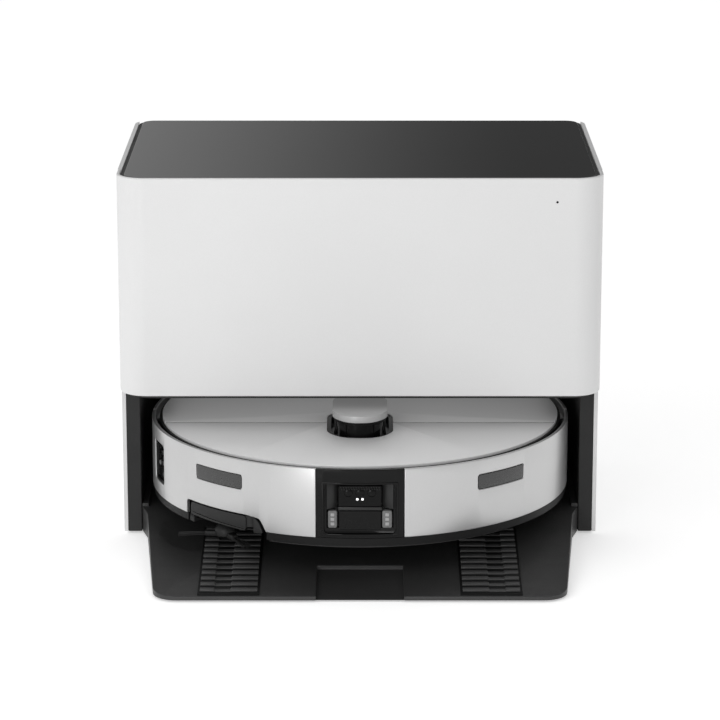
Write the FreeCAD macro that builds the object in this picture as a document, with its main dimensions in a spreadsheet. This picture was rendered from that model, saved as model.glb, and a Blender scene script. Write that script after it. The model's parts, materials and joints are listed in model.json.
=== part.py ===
import FreeCAD, Part
import Sketcher
import os
import re

# Docked robot vacuum: the clean station with its ramp, and the round robot parked in its bay.
# Millimetres. X to the right, Y to the back, Z up. The origin is on the floor under the
# robot's centre, which is also the middle of the whole object's footprint.

doc = FreeCAD.newDocument("dockedRobot")
sizes = doc.addObject("Spreadsheet::Sheet", "sizes")
places = doc.addObject("Spreadsheet::Sheet", "places")

driving = {
    # robot, overall
    "robotRadius": 178.5, "shellWall": 3, "groundGap": 0.3, "chassisLift": 10, "skirtLift": 12.6,
    "bandLift": 19.6, "bandHeight": 57.9, "plateRise": 0.8, "plateThick": 3, "rimGap": 6.1,
    "panThick": 3, "deckThick": 3, "deckRimWall": 2.3, "seamReach": 38, "seamGap": 0.4,
    "shellSplit": 8.6, "pressTravel": 3, "slideGap": 0.3, "shaftGap": 0.05, "skirtInset": 1,
    # station, overall
    "deckHeight": 24, "lipHeight": 5, "rampRun": 168, "bayGap": 8.5, "pillarWidth": 12.2,
    "panelSkin": 3.3, "rearGap": 4.5, "endReach": 30.5, "coverReach": 63, "sideReach": 25,
    "bayHeight": 131.9, "stationHeight": 318, "coverWall": 3, "coverCorner": 24, "footRise": 1.5,
    "bayWall": 3, "housingWall": 3, "rearCorner": 20, "panelReturn": 20.5, "wallRib": 9,
    # ramp
    "rampShoulder": 20, "sideTaper": 15, "rampCorner": 20, "curbWidth": 5.5, "curbRise": 2.7,
    "roofThick": 9, "cavityFront": 120, "cavitySide": 27, "cavityNose": 6, "underplateThick": 2,
    "bowlRadius": 40, "bowlDepth": 6, "bowlAcross": 128, "bowlAhead": 92,
    "gripFloor": 35.5, "gripBack": 150, "gripDepth": 3.4,
    "padInner": 81, "padOuter": 131, "padBase": 0.8, "padBar": 5.5, "padPitch": 11,
    "padRise": 1.4, "padBars": 12, "padStart": 2,
    "footRadius": 10, "footEdge": 36.7, "frontFootEdge": 31.2, "footInset": 26,
    "boardHalf": 145, "boardFront": 28, "boardBack": 172, "boardDepth": 6, "basinDepth": 2,
    # upper part of the station
    "wellDivide": 25, "wellFloorGap": 0.3, "tankGap": 3, "tankWall": 2.5, "tankTop": 300, "tankRound": 8,
    "gripBar": 12, "serviceHalf": 150, "serviceLow": 140, "serviceTop": 290,
    "glassThick": 2.6, "glassDrop": 0.5, "glassInset": 6, "glassFront": 5, "frameThick": 4.6,
    "frameLip": 0.9, "lidGap": 0.3, "glassCorner": 18, "frameCorner": 20.4, "lidBackCorner": 14,
    "hingeInset": 3.2, "hingeDrop": 6.5, "knuckleRadius": 3.2, "pinRadius": 1.5,
    "hingeAcross": 120, "knuckleHalf": 15, "lidKnuckle": 10, "panelDrop": 13.3,
    "lightAcross": 163, "lightDrop": 20, "lightRadius": 1, "lightLength": 6,
    "bagLeft": 140, "bagRight": 10, "bagFloor": 12, "bagHeight": 132, "bagGap": 5, "bagRound": 14,
    "blowerAcross": 90, "blowerRadius": 34, "blowerHeight": 70, "blowerFloor": 6, "blowerWall": 3,
    "inletLeft": 120, "inletWidth": 30, "inletLow": 40, "inletHeight": 24, "inletDepth": 16,
    "inletWall": 3, "inletSocket": 11, "bladeWide": 2, "bladeTall": 6, "bladeLong": 6,
    "contactLeft": 26, "contactWide": 13, "contactLow": 60, "contactTall": 12,
    # fans
    "fanGap": 4, "fanDisc": 3, "fanBlade": 14, "fanHub": 8, "fanShaft": 3, "fanBlades": 9,
    # bumper, camera module and windows
    "bezelHalf": 36, "bezelDepth": 1.6, "moduleHalf": 30, "moduleDepth": 15, "moduleBar": 3.4,
    "windowHalf": 18, "windowLow": 69.7, "windowTop": 87.8, "windowThick": 3,
    "nicheHalf": 26, "nicheLow": 53, "nicheTop": 90, "nicheDepth": 9,
    "lampInner": 18.5, "lampTop": 67.1, "lampThick": 5,
    "eyeAngle": 41, "eyeHalf": 25.2, "eyeLow": 77, "eyeTop": 90, "eyeThick": 2,
    "portAngle": 72, "portHalf": 13, "portLow": 56, "portTop": 90,
    "lugInner": 58, "lugOuter": 74, "lugLow": 62, "lugTop": 68, "lugReach": 26,
    # side brush in its notch
    "notchNear": 25.5, "notchFar": 53.5, "notchTop": 56, "armLow": 45, "armTop": 54.5,
    "pivotInset": 15.5, "pivotAngle": 33, "pivotEye": 14, "pivotPin": 3, "pivotBoss": 8,
    "armDepth": 29.5, "armFar": 51.5, "hubInset": 20.5, "hubAngle": 45, "brushHub": 9,
    "bristleReach": 40, "bristleWide": 5, "bristleLift": 1.2, "bristleTall": 2.5, "brushStem": 3,
    "hubTop": 36, "stemTop": 52,
    # laser turret
    "turretHeight": 19, "turretHalf": 23, "turretFront": 84, "turretBack": 17, "turretCorner": 15,
    "basinHalf": 27.7, "basinEnd": 3, "basinCorner": 12, "basinWall": 2.2, "basinRim": 0.4,
    "basinSink": 6, "windowSkin": 1.6, "windowInset": 1.5, "capThick": 5.4, "rotorRadius": 16,
    "rotorPin": 2, "rotorGap": 1.5,
    # inside the robot
    "brushAxis": 60, "brushRadius": 19, "brushCore": 12, "brushHalf": 80, "brushLift": 0.5,
    "brushFin": 2, "brushFins": 6, "brushPin": 3, "brushRoom": 2, "housingEnd": 11,
    "housingHalf": 25, "housingTop": 68,
    "tyreRadius": 32, "tyreWall": 8, "tyreWidth": 20, "wheelAcross": 133, "axleRadius": 4,
    "wellSide": 2, "wellEnd": 5, "armWidth": 19, "armFront": 42, "armBack": 12, "armBottom": 44,
    "armHeight": 30, "hingeBack": 36, "hingeHeight": 66, "hingePin": 3, "bracketThick": 5,
    "bracketHalf": 9,
    "casterAhead": 126, "casterRadius": 10.5, "casterWidth": 12, "casterTrail": 4, "casterPin": 1.5,
    "cupRadius": 19, "cupWall": 3, "cupRoof": 48.5, "stemRadius": 5, "stemLength": 10,
    "forkRadius": 17, "forkPlate": 2, "forkSide": 2.5, "forkHalf": 4,
    "mopAcross": 62, "mopBack": 92, "mopRadius": 55, "mopPad": 5, "mopDisc": 3,
    "mopRoom": 1.5, "mopCupTop": 41, "mopShaft": 5, "mopHole": 9, "carriageHalf": 76,
    "carriageFront": 87, "carriageBack": 108, "carriageHeight": 17, "mopShaftTop": 56,
    "binHalf": 68, "binFront": 1, "binBack": 44, "binDrop": 1.4, "binRoom": 0.5, "binWall": 2,
    "suctionBack": 65.5, "suctionRadius": 21, "suctionDrop": 8.3,
    "batteryHalf": 50, "batteryFront": 112, "batteryBack": 154, "batteryHeight": 26,
    "padLeft": 25, "padWide": 15, "padThick": 3, "portSide": 9,
}

derived = {
    # heights
    "robotGround": "deckHeight + groundGap",
    "panBottom": "robotGround + chassisLift",
    "panTop": "panBottom + panThick",
    "skirtBottom": "robotGround + skirtLift",
    "bandBottom": "robotGround + bandLift",
    "bandTop": "bandBottom + bandHeight",
    "plateTop": "bandTop + plateRise",
    "plateBottom": "plateTop - plateThick",
    "deckBottom": "plateBottom - deckThick",
    "turretTop": "bandTop + turretHeight",
    "ceiling": "bayHeight - housingWall",
    "glassTop": "stationHeight - glassDrop",
    "frameTop": "glassTop - frameLip",
    "frameBottom": "frameTop - frameThick",
    "hingeAxis": "stationHeight - hingeDrop",
    "housingRim": "hingeAxis - knuckleRadius - lidGap * 2",
    "rearTop": "stationHeight - panelDrop",
    # outlines seen from above
    "bandInner": "robotRadius - shellWall",
    "plateRadius": "bandInner - rimGap",
    "panRadius": "bandInner - pressTravel - slideGap * 2",
    "panInner": "panRadius - shellWall",
    "bumperEnd": "shellSplit - pressTravel - slideGap",
    "bayHalf": "robotRadius + bayGap",
    "pillarOuter": "bayHalf + pillarWidth",
    "halfWidth": "pillarOuter + panelSkin",
    "bayBack": "robotRadius + rearGap",
    "rearFace": "robotRadius + endReach",
    "rearInner": "rearFace - panelSkin",
    "rampFront": "robotRadius + endReach",
    "rampTop": "rampFront - rampRun",
    "trayHalf": "bayHalf - slideGap",
    "trayBack": "rearInner - slideGap * 3",
    "wallBack": "rearInner - rearCorner",
    "footAcross": "trayHalf - footEdge",
    "frontFootAcross": "trayHalf - curbWidth - sideTaper - frontFootEdge",
    "rampRise": "deckHeight - lipHeight",
    "hingeY": "rearFace - hingeInset",
    "housingHalfWide": "pillarOuter - housingWall",
    "housingFront": "coverReach - coverWall * 2",
    "housingBack": "rearInner - housingWall",
    "lidHalf": "pillarOuter - lidGap",
    "lidFront": "coverReach - coverWall - lidGap",
    "turretY": "-(turretFront + turretBack) / 2",
    "basinFloor": "plateTop - basinSink - basinWall",
    "wheelZ": "robotGround + tyreRadius",
    "brushZ": "robotGround + brushLift + brushRadius",
    "casterZ": "robotGround + casterRadius",
    "armOuter": "wheelAcross - tyreWidth / 2 - wellSide * 2",
    "pivotReach": "robotRadius - pivotInset",
    "armInner": "robotRadius - armDepth",
    "hubReach": "robotRadius - hubInset",
    "pivotX": "-pivotReach * sin(pivotAngle)",
    "pivotY": "-pivotReach * cos(pivotAngle)",
    "hubX": "-hubReach * sin(hubAngle)",
    "hubY": "-hubReach * cos(hubAngle)",
    "carriageBottom": "mopCupTop + panThick + slideGap",
    "moduleBack": "robotRadius - moduleDepth",
    "binTop": "basinFloor - binDrop",
    "suctionHeight": "deckBottom - carriageBottom - suctionDrop",
}


def formula(text):
    """Writes each size or place name in the text as its own sheet's cell."""
    def cell(found):
        name = found.group(0)
        if name in driving:
            return "sizes." + name
        return "places." + name if name in derived else name
    return re.sub(r"[A-Za-z]\w*", cell, str(text))


for row, (name, value) in enumerate(driving.items(), start=1):
    sizes.set("A%d" % row, name)
    sizes.set("B%d" % row, str(value))
    sizes.setAlias("B%d" % row, name)
doc.recompute()
for row, (name, text) in enumerate(derived.items(), start=1):
    places.set("A%d" % row, name)
    places.set("B%d" % row, "=" + formula(text))
    places.setAlias("B%d" % row, name)
doc.recompute()

subParts = []


def number(text):
    """The value of a formula in the sheets' names."""
    return float(sizes.evalExpression(formula(text)))


def bind(item, **values):
    for name, text in values.items():
        item.setExpression(name.replace("__", "."), formula(text))
    return item


def moved(item, x="0", y="0", z="0"):
    return bind(item, Placement__Base__x=x, Placement__Base__y=y, Placement__Base__z=z)


def keep(item, label):
    """Names a finished sub-part; its label is its file's name."""
    item.Label = label
    subParts.append(item)
    return item


# ---- plain solids and booleans ----

def block(x, y, z, turn=0):
    """A box between pairs of limits; turn swings it about the Z axis of the origin."""
    item = bind(doc.addObject("Part::Box", "block"),
                Length="(%s) - (%s)" % (x[1], x[0]), Width="(%s) - (%s)" % (y[1], y[0]),
                Height="(%s) - (%s)" % (z[1], z[0]))
    if not turn:
        return moved(item, x[0], y[0], z[0])
    angle = number(turn)
    item.Placement.Rotation = FreeCAD.Rotation(FreeCAD.Vector(0, 0, 1), angle)
    across, along = "(%s)" % x[0], "(%s)" % y[0]
    return moved(item, "%s * cos(%s) - %s * sin(%s)" % (across, turn, along, turn),
                 "%s * sin(%s) + %s * cos(%s)" % (across, turn, along, turn), z[0])


turns = {"X": FreeCAD.Rotation(FreeCAD.Vector(0, 1, 0), 90),
         "Y": FreeCAD.Rotation(FreeCAD.Vector(1, 0, 0), -90),
         "Z": FreeCAD.Rotation()}


def rod(radius, start, length, axis="Z"):
    item = bind(doc.addObject("Part::Cylinder", "rod"), Radius=radius, Height=length)
    item.Placement.Rotation = turns[axis]
    return moved(item, *start)


def disc(radius, z, x="0", y="0"):
    return rod(radius, (x, y, z[0]), "(%s) - (%s)" % (z[1], z[0]))


def joined(*items):
    both = doc.addObject("Part::MultiFuse", "joined")
    both.Shapes = list(items)
    return both


def less(base, *tools):
    rest = doc.addObject("Part::Cut", "less")
    rest.Base = base
    rest.Tool = tools[0] if len(tools) == 1 else joined(*tools)
    return rest


def shared(*items):
    both = doc.addObject("Part::MultiCommon", "shared")
    both.Shapes = list(items)
    return both


def grouped(*items):
    several = doc.addObject("Part::Compound", "several")
    several.Links = list(items)
    return several


def tube(outer, inner, z, x="0", y="0"):
    return less(disc(outer, z, x, y), disc(inner, z, x, y))


def sector(outer, inner, z, near, far):
    """A piece of a ring on the robot's left, between two angles from straight ahead."""
    ring = bind(doc.addObject("Part::Cylinder", "sector"), Radius=outer,
                Height="(%s) - (%s)" % (z[1], z[0]), Angle="(%s) - (%s)" % (far, near))
    ring.Placement.Rotation = FreeCAD.Rotation(FreeCAD.Vector(0, 0, 1), -90 - number(far))
    return less(moved(ring, "0", "0", z[0]), disc(inner, z))


def mirrored(item):
    copy = doc.addObject("Part::Mirroring", "mirrored")
    copy.Source = item
    copy.Normal = FreeCAD.Vector(1, 0, 0)
    return copy


# ---- sketched bodies ----

def bodyPlane(body, role):
    return next(face for face in body.Origin.OriginFeatures if face.Role == role)


def outline(body, role, points, offset="0"):
    """A closed sketch whose corners are bound to formulas."""
    sketch = body.newObject("Sketcher::SketchObject", "outline")
    sketch.AttachmentSupport = [(bodyPlane(body, role), "")]
    sketch.MapMode = "FlatFace"
    bind(sketch, AttachmentOffset__Base__z=offset)
    spots = [FreeCAD.Vector(number(x), number(y), 0) for x, y in points]
    for index, spot in enumerate(spots):
        sketch.addGeometry(Part.LineSegment(spot, spots[(index + 1) % len(spots)]), False)
    for index in range(len(spots)):
        following = (index + 1) % len(spots)
        sketch.addConstraint(Sketcher.Constraint("Coincident", index, 2, following, 1))
    for index, corner in enumerate(points):
        for kind, text in zip(("DistanceX", "DistanceY"), corner):
            fixed = Sketcher.Constraint(kind, -1, 1, index, 1, number(text))
            sketch.setExpression("Constraints[%d]" % sketch.addConstraint(fixed), formula(text))
    return sketch


def padded(points, z, role="XY_Plane"):
    """An outline raised from z[0] to z[1] along its plane's normal."""
    body = doc.addObject("PartDesign::Body", "plate")
    pad = body.newObject("PartDesign::Pad", "raised")
    pad.Profile = outline(body, role, points, z[0])
    bind(pad, Length="(%s) - (%s)" % (z[1], z[0]))
    doc.recompute()
    return body


def rounded(body, corners, radius):
    """Rounds the body's upright edges that stand at the given corners."""
    spots = [(number(x), number(y)) for x, y in corners]
    edges = []
    for index, edge in enumerate(body.Tip.Shape.Edges, start=1):
        first, last = edge.Vertexes[0].Point, edge.Vertexes[-1].Point
        upright = abs(first.x - last.x) + abs(first.y - last.y) < 1e-4
        if upright and any(abs(first.x - x) + abs(first.y - y) < 1e-3 for x, y in spots):
            edges.append("Edge%d" % index)
    base = body.Tip
    fillet = body.newObject("PartDesign::Fillet", "corners")
    fillet.Base = (base, edges)
    bind(fillet, Radius=radius)
    doc.recompute()
    return body


def turned(points, x="0", y="0", z="0", axis="Z"):
    """A profile of (radius, height) corners turned about its own axis."""
    body = doc.addObject("PartDesign::Body", "turned")
    spin = body.newObject("PartDesign::Revolution", "spun")
    spin.Profile = outline(body, "XZ_Plane", points)
    spin.ReferenceAxis = (bodyPlane(body, "Z_Axis"), [""])
    spin.Angle = 360
    body.Placement.Rotation = turns[axis]
    return moved(body, x, y, z)


def corners(x, y):
    return [(x[0], y[0]), (x[1], y[0]), (x[1], y[1]), (x[0], y[1])]


def bothSides(low, high):
    return [(low, high), ("-(%s)" % high, "-(%s)" % low)]


# ---- the station's base ----

def makeBase():
    side = padded([("-rampFront", "footRise"), ("trayBack", "footRise"), ("trayBack", "deckHeight"),
                   ("-rampTop", "deckHeight"), ("-rampFront", "lipHeight")],
                  ("-trayHalf", "trayHalf"), "YZ_Plane")
    noseHalf = "trayHalf - curbWidth - sideTaper"
    plan = [("trayHalf", "trayBack"), ("-trayHalf", "trayBack"), ("-trayHalf", "-sideReach"),
            ("-trayHalf + curbWidth", "-sideReach - rampShoulder"), ("-(%s)" % noseHalf, "-rampFront"),
            (noseHalf, "-rampFront"), ("trayHalf - curbWidth", "-sideReach - rampShoulder"),
            ("trayHalf", "-sideReach")]
    footprint = rounded(padded(plan, ("0", "deckHeight + curbRise")), plan[4:6], "rampCorner")
    curbs = [block(x, ("-sideReach", "bayBack"), ("footRise", "deckHeight + curbRise"))
             for x in bothSides("trayHalf - curbWidth", "trayHalf")]
    solid = joined(shared(side, footprint), *curbs)
    cavity = padded([("-cavityFront", "0"), ("trayBack - bayWall", "0"),
                     ("trayBack - bayWall", "deckHeight - roofThick"),
                     ("-rampTop", "deckHeight - roofThick"), ("-cavityFront", "cavityNose")],
                    ("-trayHalf + cavitySide", "trayHalf - cavitySide"), "YZ_Plane")
    bowl = bind(doc.addObject("Part::Cone", "bowl"), Radius1="bowlRadius * 0.6",
                Radius2="bowlRadius * 1.4", Height="bowlDepth * 2")
    moved(bowl, "-bowlAcross", "-bowlAhead", "lipHeight + (rampFront - bowlAhead) "
          "* rampRise / rampRun - bowlDepth")
    slope = "rampRise / rampRun"
    floorBack = "lipHeight - gripDepth + (rampFront - gripBack) * %s" % slope
    grip = padded([("-rampFront - 1", "footRise / 2 + 0.5"), ("-gripBack", floorBack),
                   ("-gripBack", "deckHeight"), ("-rampFront - 1", "deckHeight")],
                  ("-gripFloor", "gripFloor"), "YZ_Plane")
    seat = block(("-boardHalf - slideGap", "boardHalf + slideGap"),
                 ("boardFront - slideGap", "boardBack + slideGap"),
                 ("deckHeight - boardDepth", "deckHeight + 1"))
    keep(less(solid, cavity, bowl, grip, seat), "base_tray")

    keep(block(("-trayHalf + cavitySide + slideGap", "trayHalf - cavitySide - slideGap"),
               ("-cavityFront + slideGap", "trayBack - bayWall - slideGap"),
               ("footRise", "footRise + underplateThick")), "base_underplate")
    feet = [disc("footRadius", ("0", "footRise"), across, along)
            for side in ("", "-")
            for across, along in ((side + "footAcross", "rearFace - footInset"),
                                  (side + "footAcross", "footInset"),
                                  (side + "frontFootAcross", "-rampFront + footInset"))]
    keep(grouped(*feet), "rubber_feet")

    board = block(("-boardHalf", "boardHalf"), ("boardFront", "boardBack"),
                  ("deckHeight - boardDepth", "deckHeight - slideGap"))
    basins = [disc("mopRadius + mopRoom", ("deckHeight - slideGap - basinDepth", "deckHeight"),
                   side + "mopAcross", "mopBack") for side in ("", "-")]
    keep(less(board, *basins), "wash_board")


def makeTractionPads():
    """Each pad is a mat with cross bars, laid along the ramp's slope."""
    slope = number("atan(rampRise / rampRun)")
    tilt = FreeCAD.Rotation(FreeCAD.Vector(1, 0, 0), slope)
    mats = []
    for low, high in bothSides("padInner", "padOuter"):
        strips = [("padStart", "padPitch * padBars", "0", "padBase")]
        for bar in range(int(number("padBars"))):
            strips.append(("padStart + padPitch * %d + padPitch - padBar" % bar, "padBar",
                           "0", "padBase + padRise"))
        pieces = []
        for start, length, low_z, high_z in strips:
            strip = bind(doc.addObject("Part::Box", "strip"), Length="(%s) - (%s)" % (high, low),
                         Width=length, Height=high_z)
            strip.Placement.Rotation = tilt
            pieces.append(moved(strip, low, "-rampFront + (%s) * %.9f" % (start, number("cos(%f)" % slope)),
                                "lipHeight + (%s) * %.9f" % (start, number("sin(%f)" % slope))))
        mats.append(joined(*pieces))
    keep(grouped(*mats), "traction_pads")


# ---- the bay and the outer panels ----

def makeBay():
    for label, x in zip(("bay_right_wall", "bay_left_wall"), bothSides("bayHalf", "pillarOuter")):
        rib = bothSides("bayHalf + bayWall", "pillarOuter")["left" in label]
        wall = block(x, ("-sideReach", "wallBack"), ("footRise", "ceiling"))
        room = block(rib, ("-sideReach + wallRib", "wallBack - wallRib"),
                     ("footRise + wallRib", "ceiling - wallRib"))
        keep(less(wall, room), label)
    keep(block(("-bayHalf", "bayHalf"), ("bayBack", "bayBack + bayWall"),
               ("deckHeight + curbRise", "ceiling")), "bay_back_wall")
    contacts = [block(x, ("robotRadius - shellWall * 1.9 + slideGap", "bayBack"),
                      ("contactLow", "contactLow + contactTall"))
                for x in bothSides("contactLeft", "contactLeft + contactWide")]
    keep(grouped(*contacts), "charging_contacts")


def makePanels():
    for label, side in (("right_side_panel", ""), ("left_side_panel", "-")):
        plan = [("halfWidth", "-sideReach"), ("halfWidth", "rearFace"),
                ("halfWidth - panelReturn", "rearFace"), ("halfWidth - panelReturn", "rearInner"),
                ("pillarOuter", "rearInner"), ("pillarOuter", "-sideReach")]
        skin = rounded(padded(plan, ("footRise", "stationHeight")), plan[1:2], "rearCorner")
        rounded(skin, plan[4:5], "rearCorner - panelSkin")
        relief = block(("0", "pillarOuter"), ("rearInner - rearCorner", "rearFace + 1"),
                       ("rearTop", "stationHeight + 1"))
        edge = block(("pillarOuter - rearCorner", "halfWidth + 1"), ("rearFace - rearCorner", "rearFace + 1"),
                     ("rearTop", "stationHeight + 1"))
        panel = less(skin, relief, edge)
        keep(mirrored(panel) if side else panel, label)
    reach = "halfWidth - panelReturn - slideGap"
    sheet = block(("-(%s)" % reach, reach), ("rearInner", "rearFace"), ("footRise", "rearTop"))
    hole = block(("inletLeft - slideGap", "inletLeft + inletWidth + slideGap"),
                 ("rearInner - 1", "rearFace + 1"),
                 ("inletLow - slideGap", "inletLow + inletHeight + slideGap"))
    keep(less(sheet, hole), "rear_panel")

    shell = block(("inletLeft", "inletLeft + inletWidth"), ("rearFace - inletDepth", "rearFace"),
                  ("inletLow", "inletLow + inletHeight"))
    socket = block(("inletLeft + inletWall", "inletLeft + inletWidth - inletWall"),
                   ("rearFace - inletSocket", "rearFace + 1"),
                   ("inletLow + inletWall", "inletLow + inletHeight - inletWall"))
    middle = "inletLeft + inletWidth / 2"
    blades = [block((spot + " - bladeWide / 2", spot + " + bladeWide / 2"),
                    ("rearFace - inletSocket", "rearFace - inletSocket + bladeLong"),
                    ("inletLow + (inletHeight - bladeTall) / 2",
                     "inletLow + (inletHeight + bladeTall) / 2"))
              for spot in (middle + " - inletWidth / 5", middle, middle + " + inletWidth / 5")]
    keep(joined(less(shell, socket), *blades), "power_inlet")


def makeFrontCover():
    back = "-sideReach - slideGap"
    plan = corners(("-halfWidth", "halfWidth"), ("-coverReach", back))
    outside = rounded(padded(plan, ("bayHeight", "stationHeight")), plan[0:2], "coverCorner")
    hollow = corners(("-halfWidth + coverWall", "halfWidth - coverWall"),
                     ("-coverReach + coverWall", back + " + 1"))
    inside = rounded(padded(hollow, ("bayHeight - 1", "stationHeight + 1")), hollow[0:2],
                     "coverCorner - coverWall")
    light = ("lightAcross", "-coverReach", "stationHeight - lightDrop")
    hole = rod("lightRadius + shaftGap", (light[0], light[1] + " - 1", light[2]), "lightLength * 2", "Y")
    keep(less(outside, inside, hole), "front_cover")
    keep(rod("lightRadius", light, "lightLength", "Y"), "status_light")


# ---- the upper housing, its lid and what stands in it ----

def makeUpperHousing():
    frontRound, backRound = "coverCorner - coverWall", "rearCorner - panelSkin"
    plan = corners(("-housingHalfWide", "housingHalfWide"), ("-housingFront", "housingBack"))
    case = rounded(padded(plan, ("ceiling", "housingRim")), plan[:2], frontRound)
    rounded(case, plan[2:], backRound)
    inner = "housingHalfWide - housingWall"
    deep = ("bayHeight", "housingRim + 1")
    wells = []
    for outerEdge, x in zip((1, 0), bothSides("housingWall / 2", inner)):
        well = corners(x, ("wellDivide + housingWall", "housingBack - housingWall"))
        far = [corner for corner in well[2:] if corner[0] == x[outerEdge]]
        wells.append(rounded(padded(well, deep), far, backRound + " - housingWall"))
    hall = corners(("-(%s)" % inner, inner), ("-housingFront + housingWall", "wellDivide"))
    front = rounded(padded(hall, deep), hall[:2], frontRound + " - housingWall")
    service = block(("-serviceHalf", "serviceHalf"), ("-housingFront - 1", "-housingFront + housingWall + 1"),
                    ("serviceLow", "serviceTop"))
    shell = less(case, front, service, *wells)
    skirts = [block(x, ("-sideReach", "wallBack"), ("ceiling", "bayHeight"))
              for x in bothSides(inner, "pillarOuter - slideGap")]
    brackets = []
    for side in ("", "-"):
        middle = side + "hingeAcross"
        ends = (middle + " - knuckleHalf", middle + " + knuckleHalf")
        brackets.append(block(ends, ("housingBack - housingWall", "rearInner"),
                              ("rearTop - knuckleHalf", "hingeAxis - knuckleRadius / 2")))
        brackets.append(rod("knuckleRadius", (ends[0], "hingeY", "hingeAxis"), "knuckleHalf * 2", "X"))
    solid = joined(shell, *skirts, *brackets)
    bores = [rod("pinRadius + shaftGap", (side + "hingeAcross - knuckleHalf - 1", "hingeY", "hingeAxis"),
                 "knuckleHalf * 2 + 2", "X") for side in ("", "-")]
    keep(less(solid, *bores), "upper_housing")
    half = "knuckleHalf + lidGap + lidKnuckle"
    pins = [rod("pinRadius", (side + "hingeAcross - (%s)" % half, "hingeY", "hingeAxis"),
                "(%s) * 2" % half, "X") for side in ("", "-")]
    keep(grouped(*pins), "lid_hinge_pins")


def makeLid():
    plan = corners(("-lidHalf", "lidHalf"), ("-lidFront", "rearFace"))
    tray = rounded(padded(plan, ("frameBottom", "frameTop")), plan[0:2], "frameCorner")
    rounded(tray, plan[2:4], "lidBackCorner")
    edge = "pillarOuter - glassInset / 2"
    pane = corners(("-(%s)" % edge, edge), ("-coverReach + glassFront", "rearFace"))
    glass = rounded(padded(pane, ("glassTop - glassThick", "glassTop")), pane[0:2], "glassCorner")
    rounded(glass, pane[2:4], "lidBackCorner - glassInset / 2")
    recess = rounded(padded(pane, ("glassTop - glassThick", "glassTop + 1")), pane[0:2], "glassCorner")
    rounded(recess, pane[2:4], "lidBackCorner - glassInset / 2")
    knuckles, bores = [], []
    for side in ("", "-"):
        middle = side + "hingeAcross"
        bores.append(block((middle + " - knuckleHalf - lidGap", middle + " + knuckleHalf + lidGap"),
                           ("hingeY - knuckleRadius - lidGap * 2", "rearFace + 1"),
                           ("frameBottom - 1", "glassTop - glassThick")))
        for start in ("hingeAcross * %s1 - knuckleHalf - lidGap - lidKnuckle" % side,
                      "hingeAcross * %s1 + knuckleHalf + lidGap" % side):
            end = start + " + lidKnuckle"
            knuckles.append(rod("knuckleRadius", (start, "hingeY", "hingeAxis"), "lidKnuckle", "X"))
            knuckles.append(block((start, end), ("hingeY - knuckleRadius", "hingeY + knuckleRadius / 2"),
                                  ("hingeAxis", "frameBottom + 1")))
            bores.append(rod("pinRadius + shaftGap", (start + " - 1", "hingeY", "hingeAxis"),
                             "lidKnuckle + 2", "X"))
    keep(less(joined(less(tray, recess), *knuckles), *bores), "lid_frame")
    keep(glass, "lid_glass")


def makeTanks():
    """Two open-topped tanks side by side, each with a bar to lift it by."""
    for label, mirror in (("dirty_water_tank", False), ("clean_water_tank", True)):
        x = ("housingWall / 2 + tankGap", "housingHalfWide - housingWall - tankGap")
        y = ("wellDivide + housingWall + tankGap", "housingBack - housingWall - tankGap")
        low = "bayHeight + wellFloorGap"
        plan = corners(x, y)
        room = corners(*[(low + " + tankWall", high + " - tankWall") for low, high in (x, y)])
        outer = rounded(padded(plan, (low, "tankTop")), plan, "tankRound")
        inner = rounded(padded(room, (low + " + tankWall", "tankTop + 1")), room, "tankRound - tankWall")
        middle = "(%s + %s) / 2" % y
        bar = block((x[0] + " + 1", x[1] + " - 1"), (middle + " - gripBar / 2", middle + " + gripBar / 2"),
                    ("tankTop - gripBar / 2", "tankTop"))
        tank = joined(less(outer, inner), bar)
        keep(mirrored(tank) if mirror else tank, label)


def makeDustBag():
    x = ("-bagLeft", "-bagRight")
    y = ("-housingFront + housingWall + bagGap", "wellDivide - slideGap")
    bag = rounded(padded(corners(x, y), ("bayHeight + slideGap", "bayHeight + bagFloor + bagHeight")),
                  corners(x, y), "bagRound")
    keep(bag, "dust_bag")


def makeFan(radius, floor, x, y, label):
    """A backward fan: hub, back plate, blades and the shaft under it."""
    shaft = "fanShaft - blowerFloor"
    core = turned([("0", shaft), ("fanShaft", shaft),
                   ("fanShaft", "0"), (radius, "0"), (radius, "fanDisc"), ("fanHub", "fanDisc"),
                   ("fanHub", "fanDisc + fanBlade"), ("0", "fanDisc + fanBlade")], x, y, floor)
    blades = []
    count = int(number("fanBlades"))
    for index in range(count):
        angle = 360.0 * index / count
        blade = bind(doc.addObject("Part::Box", "blade"), Length="(%s) - fanHub + 1" % radius,
                     Width="fanDisc / 2", Height="fanBlade + 0.5")
        blade.Placement.Rotation = FreeCAD.Rotation(FreeCAD.Vector(0, 0, 1), angle)
        reach = "(fanHub - 1)"
        blades.append(moved(blade, "%s + %s * %.9f" % (x, reach, number("cos(%f)" % angle)),
                            "%s + %s * %.9f" % (y, reach, number("sin(%f)" % angle)),
                            "%s + fanDisc - 0.5" % floor))
    keep(joined(core, *blades), label)


def makeFanCup(radius, height, low, x, y, label):
    cup = turned([("fanShaft + shaftGap", "0"), (radius, "0"), (radius, height),
                  ("(%s) - blowerWall" % radius, height), ("(%s) - blowerWall" % radius, "blowerFloor"),
                  ("fanShaft + shaftGap", "blowerFloor")], x, y, low)
    keep(cup, label)


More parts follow.
